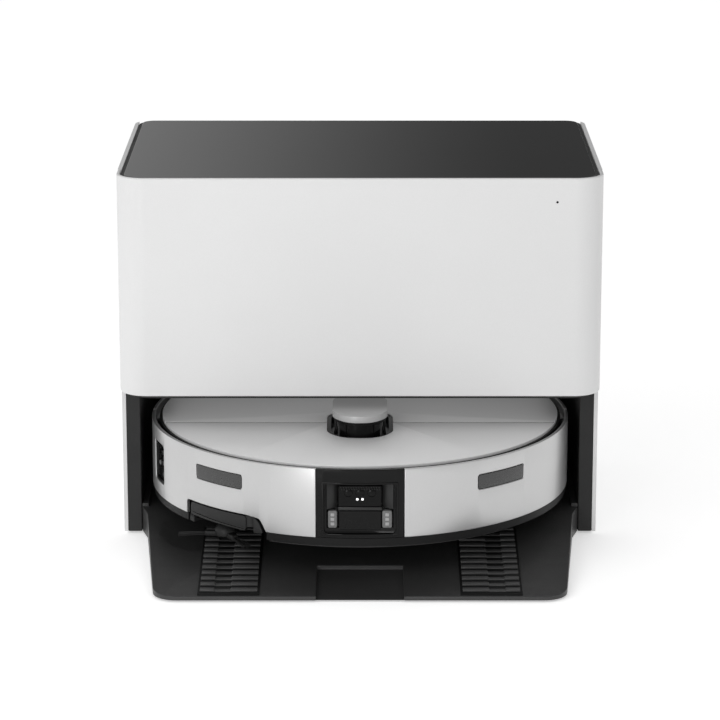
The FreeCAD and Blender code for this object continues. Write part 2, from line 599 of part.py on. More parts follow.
def makeBlowers():
    middle = "(wellDivide - housingFront + housingWall) / 2"
    low = "bayHeight + slideGap"
    makeFanCup("blowerRadius", "blowerHeight", low, "blowerAcross", middle, "station_fan_housing")
    makeFan("(blowerRadius - blowerWall - fanGap)", low + " + blowerFloor + fanGap / 2",
            "blowerAcross", middle, "station_fan")
    makeFanCup("suctionRadius", "suctionHeight", "carriageBottom", "0", "suctionBack", "suction_housing")
    makeFan("(suctionRadius - blowerWall - fanGap)", "carriageBottom + blowerFloor + fanGap / 2",
            "0", "suctionBack", "suction_fan")


# ---- the robot's frame ----

def makeChassis():
    brushRoom = "brushRadius + brushRoom"
    solids = [disc("panRadius", ("panBottom", "panTop")),
              tube("panRadius", "panInner", ("panBottom", "deckBottom")),
              block(("-brushHalf - housingEnd", "brushHalf + housingEnd"),
                    ("-brushAxis - housingHalf", "-brushAxis + housingHalf"), ("panBottom", "housingTop")),
              disc("cupRadius + cupWall", ("panBottom", "cupRoof + stemLength + cupWall"),
                   "0", "-casterAhead"),
              disc("pivotBoss", ("notchTop + slideGap", "deckBottom"), "pivotX", "pivotY")]
    for side in ("", "-"):
        solids.append(disc("mopRadius + mopRoom + panThick", ("panBottom", "mopCupTop + panThick"),
                           side + "mopAcross", "mopBack"))
    inner = "armOuter - armWidth - slideGap"
    for x in bothSides(inner + " - bracketThick", inner):
        solids.append(block(x, ("-hingeBack - bracketHalf", "-hingeBack + bracketHalf"),
                            ("panBottom", "hingeHeight + bracketHalf")))
    holes = [rod(brushRoom, ("-brushHalf - brushRoom", "-brushAxis", "brushZ"),
                 "(brushHalf + brushRoom) * 2", "X"),
             block(("-brushHalf - brushRoom", "brushHalf + brushRoom"),
                   ("-brushAxis - (%s)" % brushRoom, "-brushAxis + (%s)" % brushRoom),
                   ("panBottom - 1", "brushZ")),
             rod("brushPin + shaftGap", ("-brushHalf - housingEnd - 1", "-brushAxis", "brushZ"),
                 "(brushHalf + housingEnd + 1) * 2", "X"),
             disc("cupRadius", ("panBottom - 1", "cupRoof"), "0", "-casterAhead"),
             disc("stemRadius + shaftGap", ("cupRoof - 1", "cupRoof + stemLength + shaftGap"),
                  "0", "-casterAhead"),
             rod("hingePin + shaftGap", ("-(%s) - 1" % inner, "-hingeBack", "hingeHeight"),
                 "(%s + 1) * 2" % inner, "X"),
             block(("-bezelHalf - pressTravel", "bezelHalf + pressTravel"),
                   ("-panRadius - 1", "-moduleBack + pressTravel + slideGap"),
                   ("panTop", "deckBottom + 1")),
             sector("panRadius + 1", "armInner - pressTravel", ("panBottom - 1", "notchTop + slideGap"),
                    "notchNear", "notchFar")]
    for side in ("", "-"):
        holes.append(disc("mopRadius + mopRoom", ("panBottom - 1", "mopCupTop"),
                          side + "mopAcross", "mopBack"))
        holes.append(disc("mopHole", ("mopCupTop - 1", "mopCupTop + panThick + 1"),
                          side + "mopAcross", "mopBack"))
    wheelHalf = "tyreWidth / 2 + wellSide"
    for x in bothSides("wheelAcross - (%s)" % wheelHalf, "wheelAcross + (%s)" % wheelHalf):
        holes.append(block(x, ("-tyreRadius - wellEnd", "tyreRadius + wellEnd"),
                           ("panBottom - 1", "mopCupTop + panThick + 1")))
    for x in bothSides("lugInner - slideGap", "lugOuter + slideGap"):
        holes.append(block(x, ("-panRadius - 1", "-panRadius + lugReach"),
                           ("lugLow - slideGap", "lugTop + slideGap")))
    pin = disc("pivotPin", ("armLow", "notchTop + 1"), "pivotX", "pivotY")
    keep(joined(less(joined(*solids), *holes), pin), "robot_chassis")


def makeTop():
    opening = block(("-basinHalf - slideGap", "basinHalf + slideGap"),
                    ("-turretFront - slideGap", "-basinEnd + slideGap"), ("basinFloor - 1", "plateTop + 1"))
    moduleRoom = block(("-bezelHalf - pressTravel", "bezelHalf + pressTravel"),
                       ("-robotRadius", "-moduleBack + pressTravel + slideGap"),
                       ("deckBottom - 1", "plateBottom"))
    rim = tube("panRadius", "panRadius - deckRimWall", ("deckBottom", "plateBottom + plateRise"))
    hatch = block(("-binHalf - binRoom", "binHalf + binRoom"), ("binFront - binRoom", "binBack + binRoom"),
                  ("deckBottom - 1", "plateBottom + 1"))
    arches = [rod("tyreRadius + wellEnd", (x[0], "0", "wheelZ"), "tyreWidth + wellSide * 2", "X")
              for x in bothSides("wheelAcross - tyreWidth / 2 - wellSide",
                                 "wheelAcross + tyreWidth / 2 + wellSide")]
    sheet = disc("panRadius", ("deckBottom", "plateBottom"))
    keep(less(joined(sheet, rim), opening, moduleRoom, hatch, *arches),
         "upper_deck")
    for label, limits in (("top_front_plate", ("-robotRadius", "-seamReach - seamGap / 2")),
                          ("top_rear_lid", ("-seamReach + seamGap / 2", "robotRadius"))):
        side = block(("-robotRadius", "robotRadius"), limits, ("plateBottom", "plateTop"))
        keep(less(shared(disc("plateRadius", ("plateBottom", "plateTop")), side), opening), label)


def makeRearShell():
    ring = tube("robotRadius", "bandInner", ("skirtBottom", "bandTop"))
    flange = tube("bandInner + 0.5", "panRadius + slideGap",
                  ("deckBottom - panThick * 2", "deckBottom - panThick"))
    back = block(("-robotRadius", "robotRadius"), ("shellSplit", "robotRadius"), ("skirtBottom", "bandTop"))
    ports = [block(x, ("robotRadius / 2", "robotRadius"),
                   ("contactLow - pressTravel", "contactLow + contactTall + pressTravel"))
             for x in bothSides("padLeft - 1", "padLeft + padWide + portSide")]
    keep(less(shared(joined(ring, flange), back), *ports), "rear_shell")
    pads = [block(x, ("robotRadius - shellWall * 1.9 - padThick", "robotRadius - shellWall * 1.9"),
                  ("contactLow", "contactLow + contactTall"))
            for x in bothSides("padLeft", "padLeft + padWide")]
    inside = disc("panRadius + slideGap", ("contactLow - 1", "contactLow + contactTall + 1"))
    keep(less(grouped(*pads), inside),
         "robot_charge_pads")


# ---- the bumper and its windows ----

def frontHalf(z):
    return block(("-robotRadius", "robotRadius"), ("-robotRadius", "bumperEnd"), z)


def radialBox(half, z, angle, depth="shellWall * 2"):
    """A box across the bumper's wall at an angle from straight ahead."""
    return block(("-(%s)" % half, half), ("-robotRadius - 1", "-robotRadius + (%s)" % depth), z, angle)


def makeBumper():
    band = ("bandBottom", "bandTop")
    ring = shared(tube("robotRadius", "bandInner", band), frontHalf(band))
    lugEnd = "-panRadius + lugReach - pressTravel - slideGap"
    lugs = [shared(block(x, ("-bandInner", lugEnd), ("lugLow", "lugTop")),
                   disc("bandInner + 1", ("lugLow", "lugTop")))
            for x in bothSides("lugInner", "lugOuter")]
    openings = [radialBox("eyeHalf", ("eyeLow", "eyeTop"), "eyeAngle"),
                radialBox("eyeHalf", ("eyeLow", "eyeTop"), "-eyeAngle"),
                radialBox("portHalf", ("portLow", "portTop"), "-portAngle"),
                block(("-moduleHalf", "moduleHalf"), ("-robotRadius - 1", "-robotRadius / 2"),
                      ("bandBottom + moduleBar", "bandTop - moduleBar")),
                shared(tube("robotRadius + 1", "robotRadius - bezelDepth", band),
                       block(("-bezelHalf", "bezelHalf"), ("-robotRadius - 1", "0"), band)),
                sector("robotRadius + 1", "bandInner - 2", ("bandBottom - 1", "notchTop"),
                       "notchNear", "notchFar")]
    keep(less(joined(ring, *lugs), *openings), "bumper")

    low = ("skirtBottom", "bandBottom")
    skirt = shared(tube("robotRadius - skirtInset", "bandInner", low), frontHalf(low))
    keep(less(skirt, sector("robotRadius + 1", "bandInner - 2", ("skirtBottom - 1", "bandBottom + 1"),
                            "notchNear", "notchFar")), "bumper_skirt")
    eyes = [shared(tube("robotRadius - 0.5", "robotRadius - 0.5 - eyeThick", ("eyeLow", "eyeTop")),
                   radialBox("eyeHalf - slideGap / 2", ("eyeLow", "eyeTop"), side + "eyeAngle"))
            for side in ("", "-")]
    keep(grouped(*eyes), "ir_windows")


def makeCamera():
    band = ("bandBottom", "bandTop")
    bezel = shared(tube("robotRadius", "robotRadius - bezelDepth", band),
                   block(("-bezelHalf", "bezelHalf"), ("-robotRadius", "0"), band))
    half = "moduleHalf - shaftGap"
    back = shared(disc("robotRadius - bezelDepth / 2", band),
                  block(("-(%s)" % half, half), ("-robotRadius", "-moduleBack"),
                        ("bandBottom + moduleBar + shaftGap", "bandTop - moduleBar - shaftGap")))
    niche = block(("-nicheHalf", "nicheHalf"), ("-robotRadius - 1", "-robotRadius + nicheDepth"),
                  ("nicheLow", "nicheTop"))
    keep(less(joined(bezel, back), niche), "camera_housing")
    floor = "-robotRadius + nicheDepth"
    keep(block(("-windowHalf", "windowHalf"), (floor + " - windowThick", floor),
               ("windowLow", "windowTop")), "camera_window")
    lamps = [block(x, (floor + " - lampThick", floor), ("nicheLow", "lampTop"))
             for x in bothSides("lampInner", "nicheHalf")]
    keep(grouped(*lamps), "led_lenses")


# ---- side brush ----

def makeSideBrush():
    z = ("armLow", "armTop")
    bow = sector("robotRadius - skirtInset", "armInner", z, "pivotAngle", "armFar")
    eye = disc("pivotEye", z, "pivotX", "pivotY")
    holes = [disc("pivotPin + shaftGap", ("armLow - 1", "armTop + 1"), "pivotX", "pivotY"),
             disc("brushStem + shaftGap", ("armLow - 1", "stemTop + shaftGap"), "hubX", "hubY")]
    keep(less(joined(bow, eye), *holes), "side_brush_arm")
    low = "robotGround + bristleLift"
    pieces = [turned([("0", "0"), ("brushHub", "0"), ("brushHub", "hubTop - (%s)" % low),
                      ("brushStem", "hubTop - (%s)" % low), ("brushStem", "stemTop - (%s)" % low),
                      ("0", "stemTop - (%s)" % low)], "hubX", "hubY", low)]
    for angle in (60, 180, 300):
        tuft = bind(doc.addObject("Part::Box", "tuft"), Length="bristleReach", Width="bristleWide",
                    Height="bristleTall")
        tuft.Placement.Rotation = FreeCAD.Rotation(FreeCAD.Vector(0, 0, 1), angle)
        pieces.append(moved(tuft, "hubX + bristleWide / 2 * %.6f" % number("sin(%d)" % angle),
                            "hubY - bristleWide / 2 * %.6f" % number("cos(%d)" % angle), low))
    keep(joined(*pieces), "side_brush")


# ---- laser turret ----

def squircle(half, front, back, z, radius):
    plan = corners(("-(%s)" % half, half), ("-(%s)" % front, "-(%s)" % back))
    return rounded(padded(plan, z), plan, radius)


def makeTurret():
    outside = squircle("basinHalf", "turretFront", "basinEnd", ("basinFloor", "plateTop - basinRim"),
                       "basinCorner")
    inside = squircle("basinHalf - basinWall", "turretFront - basinWall", "basinEnd + basinWall",
                      ("basinFloor + basinWall", "plateTop + 1"), "basinCorner - basinWall")
    bore = disc("rotorPin + shaftGap", ("basinFloor - 1", "plateTop"), "0", "turretY")
    keep(less(outside, inside, bore), "lidar_base")

    low, high = "basinFloor + basinWall", "turretTop - capThick"
    half, front, back = "turretHalf - windowInset", "turretFront - basinWall - slideGap", \
        "turretBack + windowInset"
    ring = less(squircle(half, front, back, (low, high), "turretCorner - windowInset"),
                squircle(half + " - windowSkin", front + " - windowSkin", back + " + windowSkin",
                         (low + " - 1", high + " + 1"), "turretCorner - windowInset - windowSkin"))
    keep(ring, "lidar_window")
    keep(squircle("turretHalf", "turretFront", "turretBack", (high, "turretTop"), "turretCorner"),
         "lidar_cap")
    keep(turned([("0", "-basinWall"), ("rotorPin", "-basinWall"), ("rotorPin", "rotorGap"),
                 ("rotorRadius", "rotorGap"), ("rotorRadius", "(%s) - (%s) - rotorGap" % (high, low)),
                 ("0", "(%s) - (%s) - rotorGap" % (high, low))], "0", "turretY", low), "lidar_rotor")


# ---- wheels, caster, brush and mops ----

def makeWheels():
    for name, mirror in (("right", False), ("left", True)):
        inner = "armOuter - armWidth"
        arm = block((inner, "armOuter"), ("-armFront", "armBack"), ("armBottom", "armBottom + armHeight"))
        pin = rod("hingePin", (inner + " - bracketThick", "-hingeBack", "hingeHeight"),
                  "bracketThick + 1", "X")
        axle = rod("axleRadius", ("armOuter - 1", "0", "wheelZ"),
                   "wheelAcross + tyreWidth / 2 - armOuter", "X")
        start = "wheelAcross - tyreWidth / 2"
        hub = turned([("axleRadius + shaftGap", "0"), ("tyreRadius - tyreWall", "0"),
                      ("tyreRadius - tyreWall", "tyreWidth"), ("axleRadius + shaftGap", "tyreWidth")],
                     start, "0", "wheelZ", "X")
        tyre = turned([("tyreRadius - tyreWall", "0"), ("tyreRadius - 1", "0"), ("tyreRadius", "1"),
                       ("tyreRadius", "tyreWidth - 1"), ("tyreRadius - 1", "tyreWidth"),
                       ("tyreRadius - tyreWall", "tyreWidth")], start, "0", "wheelZ", "X")
        for label, item in (("_wheel_arm", joined(arm, pin, axle)), ("_wheel_hub", hub), ("_tyre", tyre)):
            keep(mirrored(item) if mirror else item, name + label)


def makeCaster():
    middle = "-casterAhead + casterTrail"
    top = "cupRoof - slideGap"
    plate = disc("forkRadius", ("(%s) - forkPlate" % top, top), "0", "-casterAhead")
    stem = disc("stemRadius", ("(%s) - 1" % top, "cupRoof + stemLength - slideGap"), "0", "-casterAhead")
    inner = "casterWidth / 2 + slideGap"
    sides = [block(x, (middle + " - forkHalf", middle + " + forkHalf"),
                   ("casterZ - forkHalf", "(%s) - 1" % top))
             for x in bothSides(inner, inner + " + forkSide")]
    bore = rod("casterPin + shaftGap", ("-casterWidth", middle, "casterZ"), "casterWidth * 2", "X")
    keep(less(joined(plate, stem, *sides), bore), "caster_fork")
    wheel = rod("casterRadius", ("-casterWidth / 2", middle, "casterZ"), "casterWidth", "X")
    pin = rod("casterPin", ("-(%s) - forkSide" % inner, middle, "casterZ"),
              "(%s + forkSide) * 2" % inner, "X")
    keep(joined(wheel, pin), "caster_wheel")


def makeMainBrush():
    core = rod("brushCore", ("-brushHalf", "-brushAxis", "brushZ"), "brushHalf * 2", "X")
    pins = rod("brushPin", ("-brushHalf - housingEnd", "-brushAxis", "brushZ"),
               "(brushHalf + housingEnd) * 2", "X")
    fins = []
    count = int(number("brushFins"))
    for index in range(count):
        angle = 360.0 * index / count
        fin = bind(doc.addObject("Part::Box", "fin"), Length="brushHalf * 2", Width="brushFin",
                   Height="brushRadius - 0.3")
        fin.Placement.Rotation = FreeCAD.Rotation(FreeCAD.Vector(1, 0, 0), angle)
        fins.append(moved(fin, "-brushHalf", "-brushAxis - brushFin / 2 * %.6f" % number("cos(%f)" % angle),
                          "brushZ - brushFin / 2 * %.6f" % number("sin(%f)" % angle)))
    keep(joined(core, pins, *fins), "main_brush")


def makeMops():
    case = block(("-carriageHalf", "carriageHalf"), ("carriageFront", "carriageBack"),
                 ("carriageBottom", "carriageBottom + carriageHeight"))
    bores = [disc("mopShaft + shaftGap", ("carriageBottom - 1", "mopShaftTop + shaftGap"),
                  side + "mopAcross", "mopBack") for side in ("", "-")]
    keep(less(case, *bores), "mop_gearbox")
    for name, side in (("right", ""), ("left", "-")):
        low = "robotGround + mopPad"
        keep(turned([("0", "0"), ("mopRadius - 2", "0"), ("mopRadius - 2", "mopDisc"),
                     ("mopShaft", "mopDisc"), ("mopShaft", "mopShaftTop - (%s)" % low),
                     ("0", "mopShaftTop - (%s)" % low)], side + "mopAcross", "mopBack", low),
             name + "_mop_disc")
        keep(turned([("0", "0"), ("mopRadius - 1.5", "0"), ("mopRadius", "1.5"), ("mopRadius", "mopPad"),
                     ("0", "mopPad")], side + "mopAcross", "mopBack", "robotGround"), name + "_mop_pad")


def makeRobotInsides():
    x, y = ("-binHalf", "binHalf"), ("binFront", "binBack")
    body = block(x, y, ("carriageBottom", "binTop"))
    room = block((x[0] + " + binWall", x[1] + " - binWall"), (y[0] + " + binWall", y[1] + " - binWall"),
                 ("carriageBottom + binWall", "binTop + 1"))
    keep(less(body, room), "dust_bin")
    keep(block(("-batteryHalf", "batteryHalf"), ("batteryFront", "batteryBack"),
               ("carriageBottom", "carriageBottom + batteryHeight")),
         "battery")


makeBase()
makeTractionPads()
makeBay()
makePanels()
makeFrontCover()
makeUpperHousing()
makeLid()
makeTanks()
makeDustBag()
makeBlowers()
makeChassis()
makeTop()
makeRearShell()
makeBumper()
makeCamera()
makeSideBrush()
makeTurret()
makeWheels()
makeCaster()
makeMainBrush()
makeMops()
makeRobotInsides()
doc.recompute()

broken = [item.Label for item in doc.Objects if {"Invalid", "Error"} & set(item.State)]
assert not broken, "failed objects: %s" % broken
for item in subParts:
    assert not item.Shape.isNull() and item.Shape.isValid(), item.Label
    assert item.Shape.Solids, item.Label
os.makedirs("parts", exist_ok=True)
for item in subParts:
    item.Shape.exportStep("parts/%s.step" % item.Label)
print(len(subParts), "sub-parts written")
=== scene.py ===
import bmesh
import bpy
import json
import math
import random
from mathutils import Matrix, Vector


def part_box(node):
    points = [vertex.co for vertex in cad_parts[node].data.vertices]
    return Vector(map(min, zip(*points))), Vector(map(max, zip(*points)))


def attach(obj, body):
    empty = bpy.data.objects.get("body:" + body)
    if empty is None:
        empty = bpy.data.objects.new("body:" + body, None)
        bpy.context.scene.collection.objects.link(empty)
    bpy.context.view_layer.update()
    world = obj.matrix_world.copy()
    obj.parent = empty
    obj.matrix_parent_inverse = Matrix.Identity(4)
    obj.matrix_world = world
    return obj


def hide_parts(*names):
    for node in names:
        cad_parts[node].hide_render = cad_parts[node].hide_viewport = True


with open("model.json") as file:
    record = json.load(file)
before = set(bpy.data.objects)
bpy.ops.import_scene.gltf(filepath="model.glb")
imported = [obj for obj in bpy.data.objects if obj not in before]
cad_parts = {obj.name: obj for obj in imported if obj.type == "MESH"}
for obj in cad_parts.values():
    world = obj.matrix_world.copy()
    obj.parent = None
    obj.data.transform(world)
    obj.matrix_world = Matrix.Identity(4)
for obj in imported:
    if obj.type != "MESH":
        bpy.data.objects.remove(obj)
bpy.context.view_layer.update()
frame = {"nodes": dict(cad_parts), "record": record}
nodes = frame["nodes"]
mm = 0.001
random.seed(7)

# camera first: a long lens, a little above the robot, looking slightly down
lens = {"place": (0.0, -2.6204, 0.8267), "tilt": 75.463, "length": 158.06, "sensor": 36.0}
camera = bpy.data.objects.new("studioCamera", bpy.data.cameras.new("studioCamera"))
camera.location = lens["place"]
camera.rotation_euler = (math.radians(lens["tilt"]), 0, 0)
camera.data.lens = lens["length"]
camera.data.sensor_width = lens["sensor"]
camera.data.dof.use_dof = False
bpy.context.collection.objects.link(camera)
bpy.context.scene.camera = camera
print("camera ready")


# shader groups, each built once and used by many finishes

def newGroup(name, inputs, outputs):
    group = bpy.data.node_groups.new(name, "ShaderNodeTree")
    for label, kind, value in inputs:
        socket = group.interface.new_socket(name=label, in_out="INPUT", socket_type=kind)
        if value is not None:
            socket.default_value = value
    for label, kind in outputs:
        group.interface.new_socket(name=label, in_out="OUTPUT", socket_type=kind)
    return group, group.nodes.new("NodeGroupInput"), group.nodes.new("NodeGroupOutput")


def wire(tree, source, sink):
    tree.links.new(source, sink)


def addNode(tree, kind, **settings):
    node = tree.nodes.new(kind)
    for key, value in settings.items():
        setattr(node, key, value)
    return node


def mathNode(tree, operation, first, second):
    node = addNode(tree, "ShaderNodeMath", operation=operation)
    for socket, value in zip(node.inputs, (first, second)):
        if isinstance(value, (int, float)):
            socket.default_value = value
        else:
            wire(tree, value, socket)
    return node.outputs[0]


def makeDriftGroup():  # slow change of tone between two colours
    group, start, end = newGroup("toneDrift", [
        ("Vector", "NodeSocketVector", None), ("Tone A", "NodeSocketColor", (1, 1, 1, 1)),
        ("Tone B", "NodeSocketColor", (0, 0, 0, 1)), ("Size", "NodeSocketFloat", 6.0),
        ("Fleck", "NodeSocketFloat", 900.0)], [("Color", "NodeSocketColor")])
    broad = addNode(group, "ShaderNodeTexNoise")
    broad.inputs["Detail"].default_value = 3.0
    fine = addNode(group, "ShaderNodeTexNoise")
    fine.inputs["Detail"].default_value = 1.0
    for noise, scale in ((broad, "Size"), (fine, "Fleck")):
        wire(group, start.outputs["Vector"], noise.inputs["Vector"])
        wire(group, start.outputs[scale], noise.inputs["Scale"])
    both = mathNode(group, "ADD", mathNode(group, "MULTIPLY", broad.outputs["Fac"], 0.7),
                    mathNode(group, "MULTIPLY", fine.outputs["Fac"], 0.3))
    spread = addNode(group, "ShaderNodeMapRange")
    spread.inputs["From Min"].default_value = 0.35
    spread.inputs["From Max"].default_value = 0.65
    wire(group, both, spread.inputs["Value"])
    mix = addNode(group, "ShaderNodeMix", data_type="RGBA")
    wire(group, spread.outputs["Result"], mix.inputs["Factor"])
    wire(group, start.outputs["Tone A"], mix.inputs[6])
    wire(group, start.outputs["Tone B"], mix.inputs[7])
    wire(group, mix.outputs[2], end.inputs["Color"])
    return group


def makeWipeGroup():  # faint smears in the gloss
    group, start, end = newGroup("wipeMarks", [
        ("Vector", "NodeSocketVector", None), ("Smooth", "NodeSocketFloat", 0.2),
        ("Dull", "NodeSocketFloat", 0.3), ("Size", "NodeSocketFloat", 14.0)],
        [("Roughness", "NodeSocketFloat")])
    stretch = addNode(group, "ShaderNodeMapping")
    stretch.inputs["Scale"].default_value = (1.0, 2.5, 4.0)
    stretch.inputs["Rotation"].default_value = (0.3, 0.2, 0.6)
    noise = addNode(group, "ShaderNodeTexNoise")
    noise.inputs["Detail"].default_value = 4.0
    noise.inputs["Distortion"].default_value = 0.6
    wire(group, start.outputs["Vector"], stretch.inputs["Vector"])
    wire(group, stretch.outputs["Vector"], noise.inputs["Vector"])
    wire(group, start.outputs["Size"], noise.inputs["Scale"])
    spread = addNode(group, "ShaderNodeMapRange")
    spread.inputs["From Min"].default_value = 0.3
    spread.inputs["From Max"].default_value = 0.7
    wire(group, noise.outputs["Fac"], spread.inputs["Value"])
    wire(group, start.outputs["Smooth"], spread.inputs["To Min"])
    wire(group, start.outputs["Dull"], spread.inputs["To Max"])
    wire(group, spread.outputs["Result"], end.inputs["Roughness"])
    return group


def makeGrainGroup():  # spark-eroded mould grain: small pits over a soft wave
    group, start, end = newGroup("mouldGrain", [
        ("Vector", "NodeSocketVector", None), ("Scale", "NodeSocketFloat", 1500.0),
        ("Pits", "NodeSocketFloat", 0.5)], [("Height", "NodeSocketFloat")])
    wave = addNode(group, "ShaderNodeTexNoise")
    wave.inputs["Detail"].default_value = 2.0
    pits = addNode(group, "ShaderNodeTexVoronoi", feature="SMOOTH_F1")
    for texture in (wave, pits):
        wire(group, start.outputs["Vector"], texture.inputs["Vector"])
        wire(group, start.outputs["Scale"], texture.inputs["Scale"])
    deep = mathNode(group, "MULTIPLY", pits.outputs["Distance"], start.outputs["Pits"])
    wire(group, mathNode(group, "ADD", wave.outputs["Fac"], deep), end.inputs["Height"])
    return group


def makeBrushedGroup():  # fine level lines left by brushing, and the flake of metal paint
    group, start, end = newGroup("brushedMetal", [
        ("Vector", "NodeSocketVector", None), ("Lines", "NodeSocketFloat", 900.0),
        ("Flake", "NodeSocketFloat", 2600.0)], [("Height", "NodeSocketFloat"), ("Mask", "NodeSocketFloat")])
    squash = addNode(group, "ShaderNodeMapping")
    squash.inputs["Scale"].default_value = (0.03, 0.03, 1.0)
    lines = addNode(group, "ShaderNodeTexNoise")
    lines.inputs["Detail"].default_value = 3.0
    flake = addNode(group, "ShaderNodeTexVoronoi")
    wire(group, start.outputs["Vector"], squash.inputs["Vector"])
    wire(group, squash.outputs["Vector"], lines.inputs["Vector"])
    wire(group, start.outputs["Vector"], flake.inputs["Vector"])
    wire(group, start.outputs["Lines"], lines.inputs["Scale"])
    wire(group, start.outputs["Flake"], flake.inputs["Scale"])
    both = mathNode(group, "ADD", lines.outputs["Fac"],
                    mathNode(group, "MULTIPLY", flake.outputs["Distance"], 0.4))
    wire(group, both, end.inputs["Height"])
    wire(group, lines.outputs["Fac"], end.inputs["Mask"])
    return group


def makeClothGroup():  # looped yarn crossing both ways, with loose fibres
    group, start, end = newGroup("yarnCloth", [
        ("Vector", "NodeSocketVector", None), ("Yarns", "NodeSocketFloat", 400.0),
        ("Fuzz", "NodeSocketFloat", 0.4)], [("Height", "NodeSocketFloat")])
    ways = []
    for direction in ("X", "Y"):
        wave = addNode(group, "ShaderNodeTexWave", bands_direction=direction)
        wave.inputs["Distortion"].default_value = 1.5
        wave.inputs["Detail"].default_value = 2.0
        wire(group, start.outputs["Vector"], wave.inputs["Vector"])
        wire(group, start.outputs["Yarns"], wave.inputs["Scale"])
        ways.append(wave.outputs["Fac"])
    fuzz = addNode(group, "ShaderNodeTexNoise")
    fuzz.inputs["Scale"].default_value = 2200.0
    wire(group, start.outputs["Vector"], fuzz.inputs["Vector"])
    crossed = mathNode(group, "MAXIMUM", ways[0], ways[1])
    loose = mathNode(group, "MULTIPLY", fuzz.outputs["Fac"], start.outputs["Fuzz"])
    wire(group, mathNode(group, "ADD", crossed, loose), end.inputs["Height"])
    return group


groups = {"drift": makeDriftGroup(), "wipe": makeWipeGroup(), "grain": makeGrainGroup(),
          "brushed": makeBrushedGroup(), "cloth": makeClothGroup()}

# one line of values per finish: two tones, gloss range, metal, coat, then its relief
finishes = {
    "whiteShell": {"tones": (0.70, 0.73), "gloss": (0.36, 0.42), "coat": 0.1,
                   "relief": ("grain", 1400, 0.3, 0.05)},
    "blackPlastic": {"tones": (0.011, 0.016), "gloss": (0.42, 0.52), "relief": ("grain", 1500, 0.8, 0.35)},
    "bayPlastic": {"tones": (0.014, 0.019), "gloss": (0.42, 0.52), "shine": 0.3,
                   "relief": ("grain", 1300, 0.8, 0.3)},
    # ramp black: its own dark plastic, made lighter than the other blacks as painted light against the
    # robot's shadow on the ramp
    "rampPlasticLightened": {"tones": (0.023, 0.029), "gloss": (0.40, 0.5), "relief": ("grain", 1300, 0.8, 0.35)},
    # skirt black: darker than the other black plastic, painted shade for the skirt low under the bumper band
    "skirtPlasticShaded": {"tones": (0.006, 0.009), "gloss": (0.42, 0.5), "shine": 0.16,
                     "relief": ("grain", 1500, 0.8, 0.3)},
    # darkest black: the deck's own colour, and also painted shade on the seam strip, the turret lip and the
    # beds between the traction bars
    "deckBlackAndShade": {"tones": (0.004, 0.006), "gloss": (0.4, 0.5), "shine": 0.12,
                  "relief": ("grain", 1500, 0.8, 0.2)},
    "cheekBlack": {"tones": (0.016, 0.022), "gloss": (0.3, 0.4), "shine": 0.3,
                   "relief": ("grain", 1500, 0.8, 0.2)},
    "glossBlack": {"tones": (0.004, 0.006), "gloss": (0.06, 0.12), "shine": 0.16,
                   "relief": ("grain", 500, 0.2, 0.02)},
    "topGlass": {"tones": (0.010, 0.013), "gloss": (0.035, 0.07), "coat": 0.4,
                 "relief": ("grain", 60, 0.1, 0.004)},
    "silverBand": {"tones": (0.54, 0.57), "gloss": (0.32, 0.36), "metal": 0.8, "coat": 0.1,
                   "relief": ("brushed", 900, 2600, 0.012)},
    "silverPlate": {"tones": (0.785, 0.828), "gloss": (0.38, 0.44), "metal": 0.25,
                    "relief": ("brushed", 900, 2400, 0.03)},
    "capSilver": {"tones": (0.44, 0.48), "gloss": (0.34, 0.40), "metal": 0.4,
                  "relief": ("brushed", 900, 2400, 0.03)},
    # darkest glass: its own smoked tone, and on the turret window also painted shade under the cap
    "turretGlass": {"tones": (0.004, 0.006), "gloss": (0.08, 0.14), "shine": 0.12,
                    "relief": ("grain", 900, 0.4, 0.03)},
    "smokedWindow": {"tones": (0.007, 0.034), "gloss": (0.10, 0.18), "shine": 0.7,
                     "relief": ("grain", 900, 0.4, 0.04)},
    "lampCore": {"tones": (0.3, 0.4), "gloss": (0.3, 0.4), "relief": ("grain", 1800, 0.9, 0.3)},
    "frostedLens": {"tones": (0.10, 0.16), "gloss": (0.3, 0.45), "coat": 0.2,
                    "relief": ("grain", 1800, 0.9, 0.5)},
    "rubber": {"tones": (0.014, 0.02), "gloss": (0.6, 0.72), "relief": ("grain", 2200, 0.5, 0.3)},
    # pad rubber: lighter than the mat's own rubber, painted light on the bars' lit faces
    "padRubberLit": {"tones": (0.04, 0.055), "gloss": (0.38, 0.5), "relief": ("grain", 2200, 0.5, 0.3)},
    "tyreRubber": {"tones": (0.016, 0.024), "gloss": (0.62, 0.75), "relief": ("grain", 1800, 0.6, 0.35)},
    "clearTank": {"tones": (0.42, 0.5), "gloss": (0.14, 0.22), "glass": 0.5,
                  "relief": ("grain", 300, 0.3, 0.03)},
    "steel": {"tones": (0.52, 0.6), "gloss": (0.22, 0.32), "metal": 1.0,
              "relief": ("brushed", 1400, 3000, 0.05)},
    "contactMetal": {"tones": (0.62, 0.7), "gloss": (0.2, 0.3), "metal": 1.0,
                     "relief": ("brushed", 1600, 3000, 0.04)},
    "greyPlastic": {"tones": (0.10, 0.13), "gloss": (0.42, 0.5), "relief": ("grain", 1500, 0.6, 0.25)},
    "bagPaper": {"tones": (0.52, 0.62), "gloss": (0.75, 0.9), "relief": ("cloth", 260, 0.8, 0.5)},
    "mopCloth": {"tones": (0.17, 0.25), "gloss": (0.85, 0.95), "sheen": 0.4,
                 "relief": ("cloth", 320, 0.9, 0.9)},
    "bristle": {"tones": (0.006, 0.012), "gloss": (0.45, 0.6), "relief": ("grain", 2600, 0.4, 0.2)},
    "statusLens": {"tones": (0.008, 0.012), "gloss": (0.1, 0.15), "relief": ("grain", 1200, 0.3, 0.05)},
    # white dots made to glow: a painted highlight, they are no lamp
    "mirrorDot": {"tones": (0.9, 1.0), "gloss": (0.2, 0.3), "glow": 0.9,
                  "relief": ("grain", 1200, 0.3, 0.05)},
}


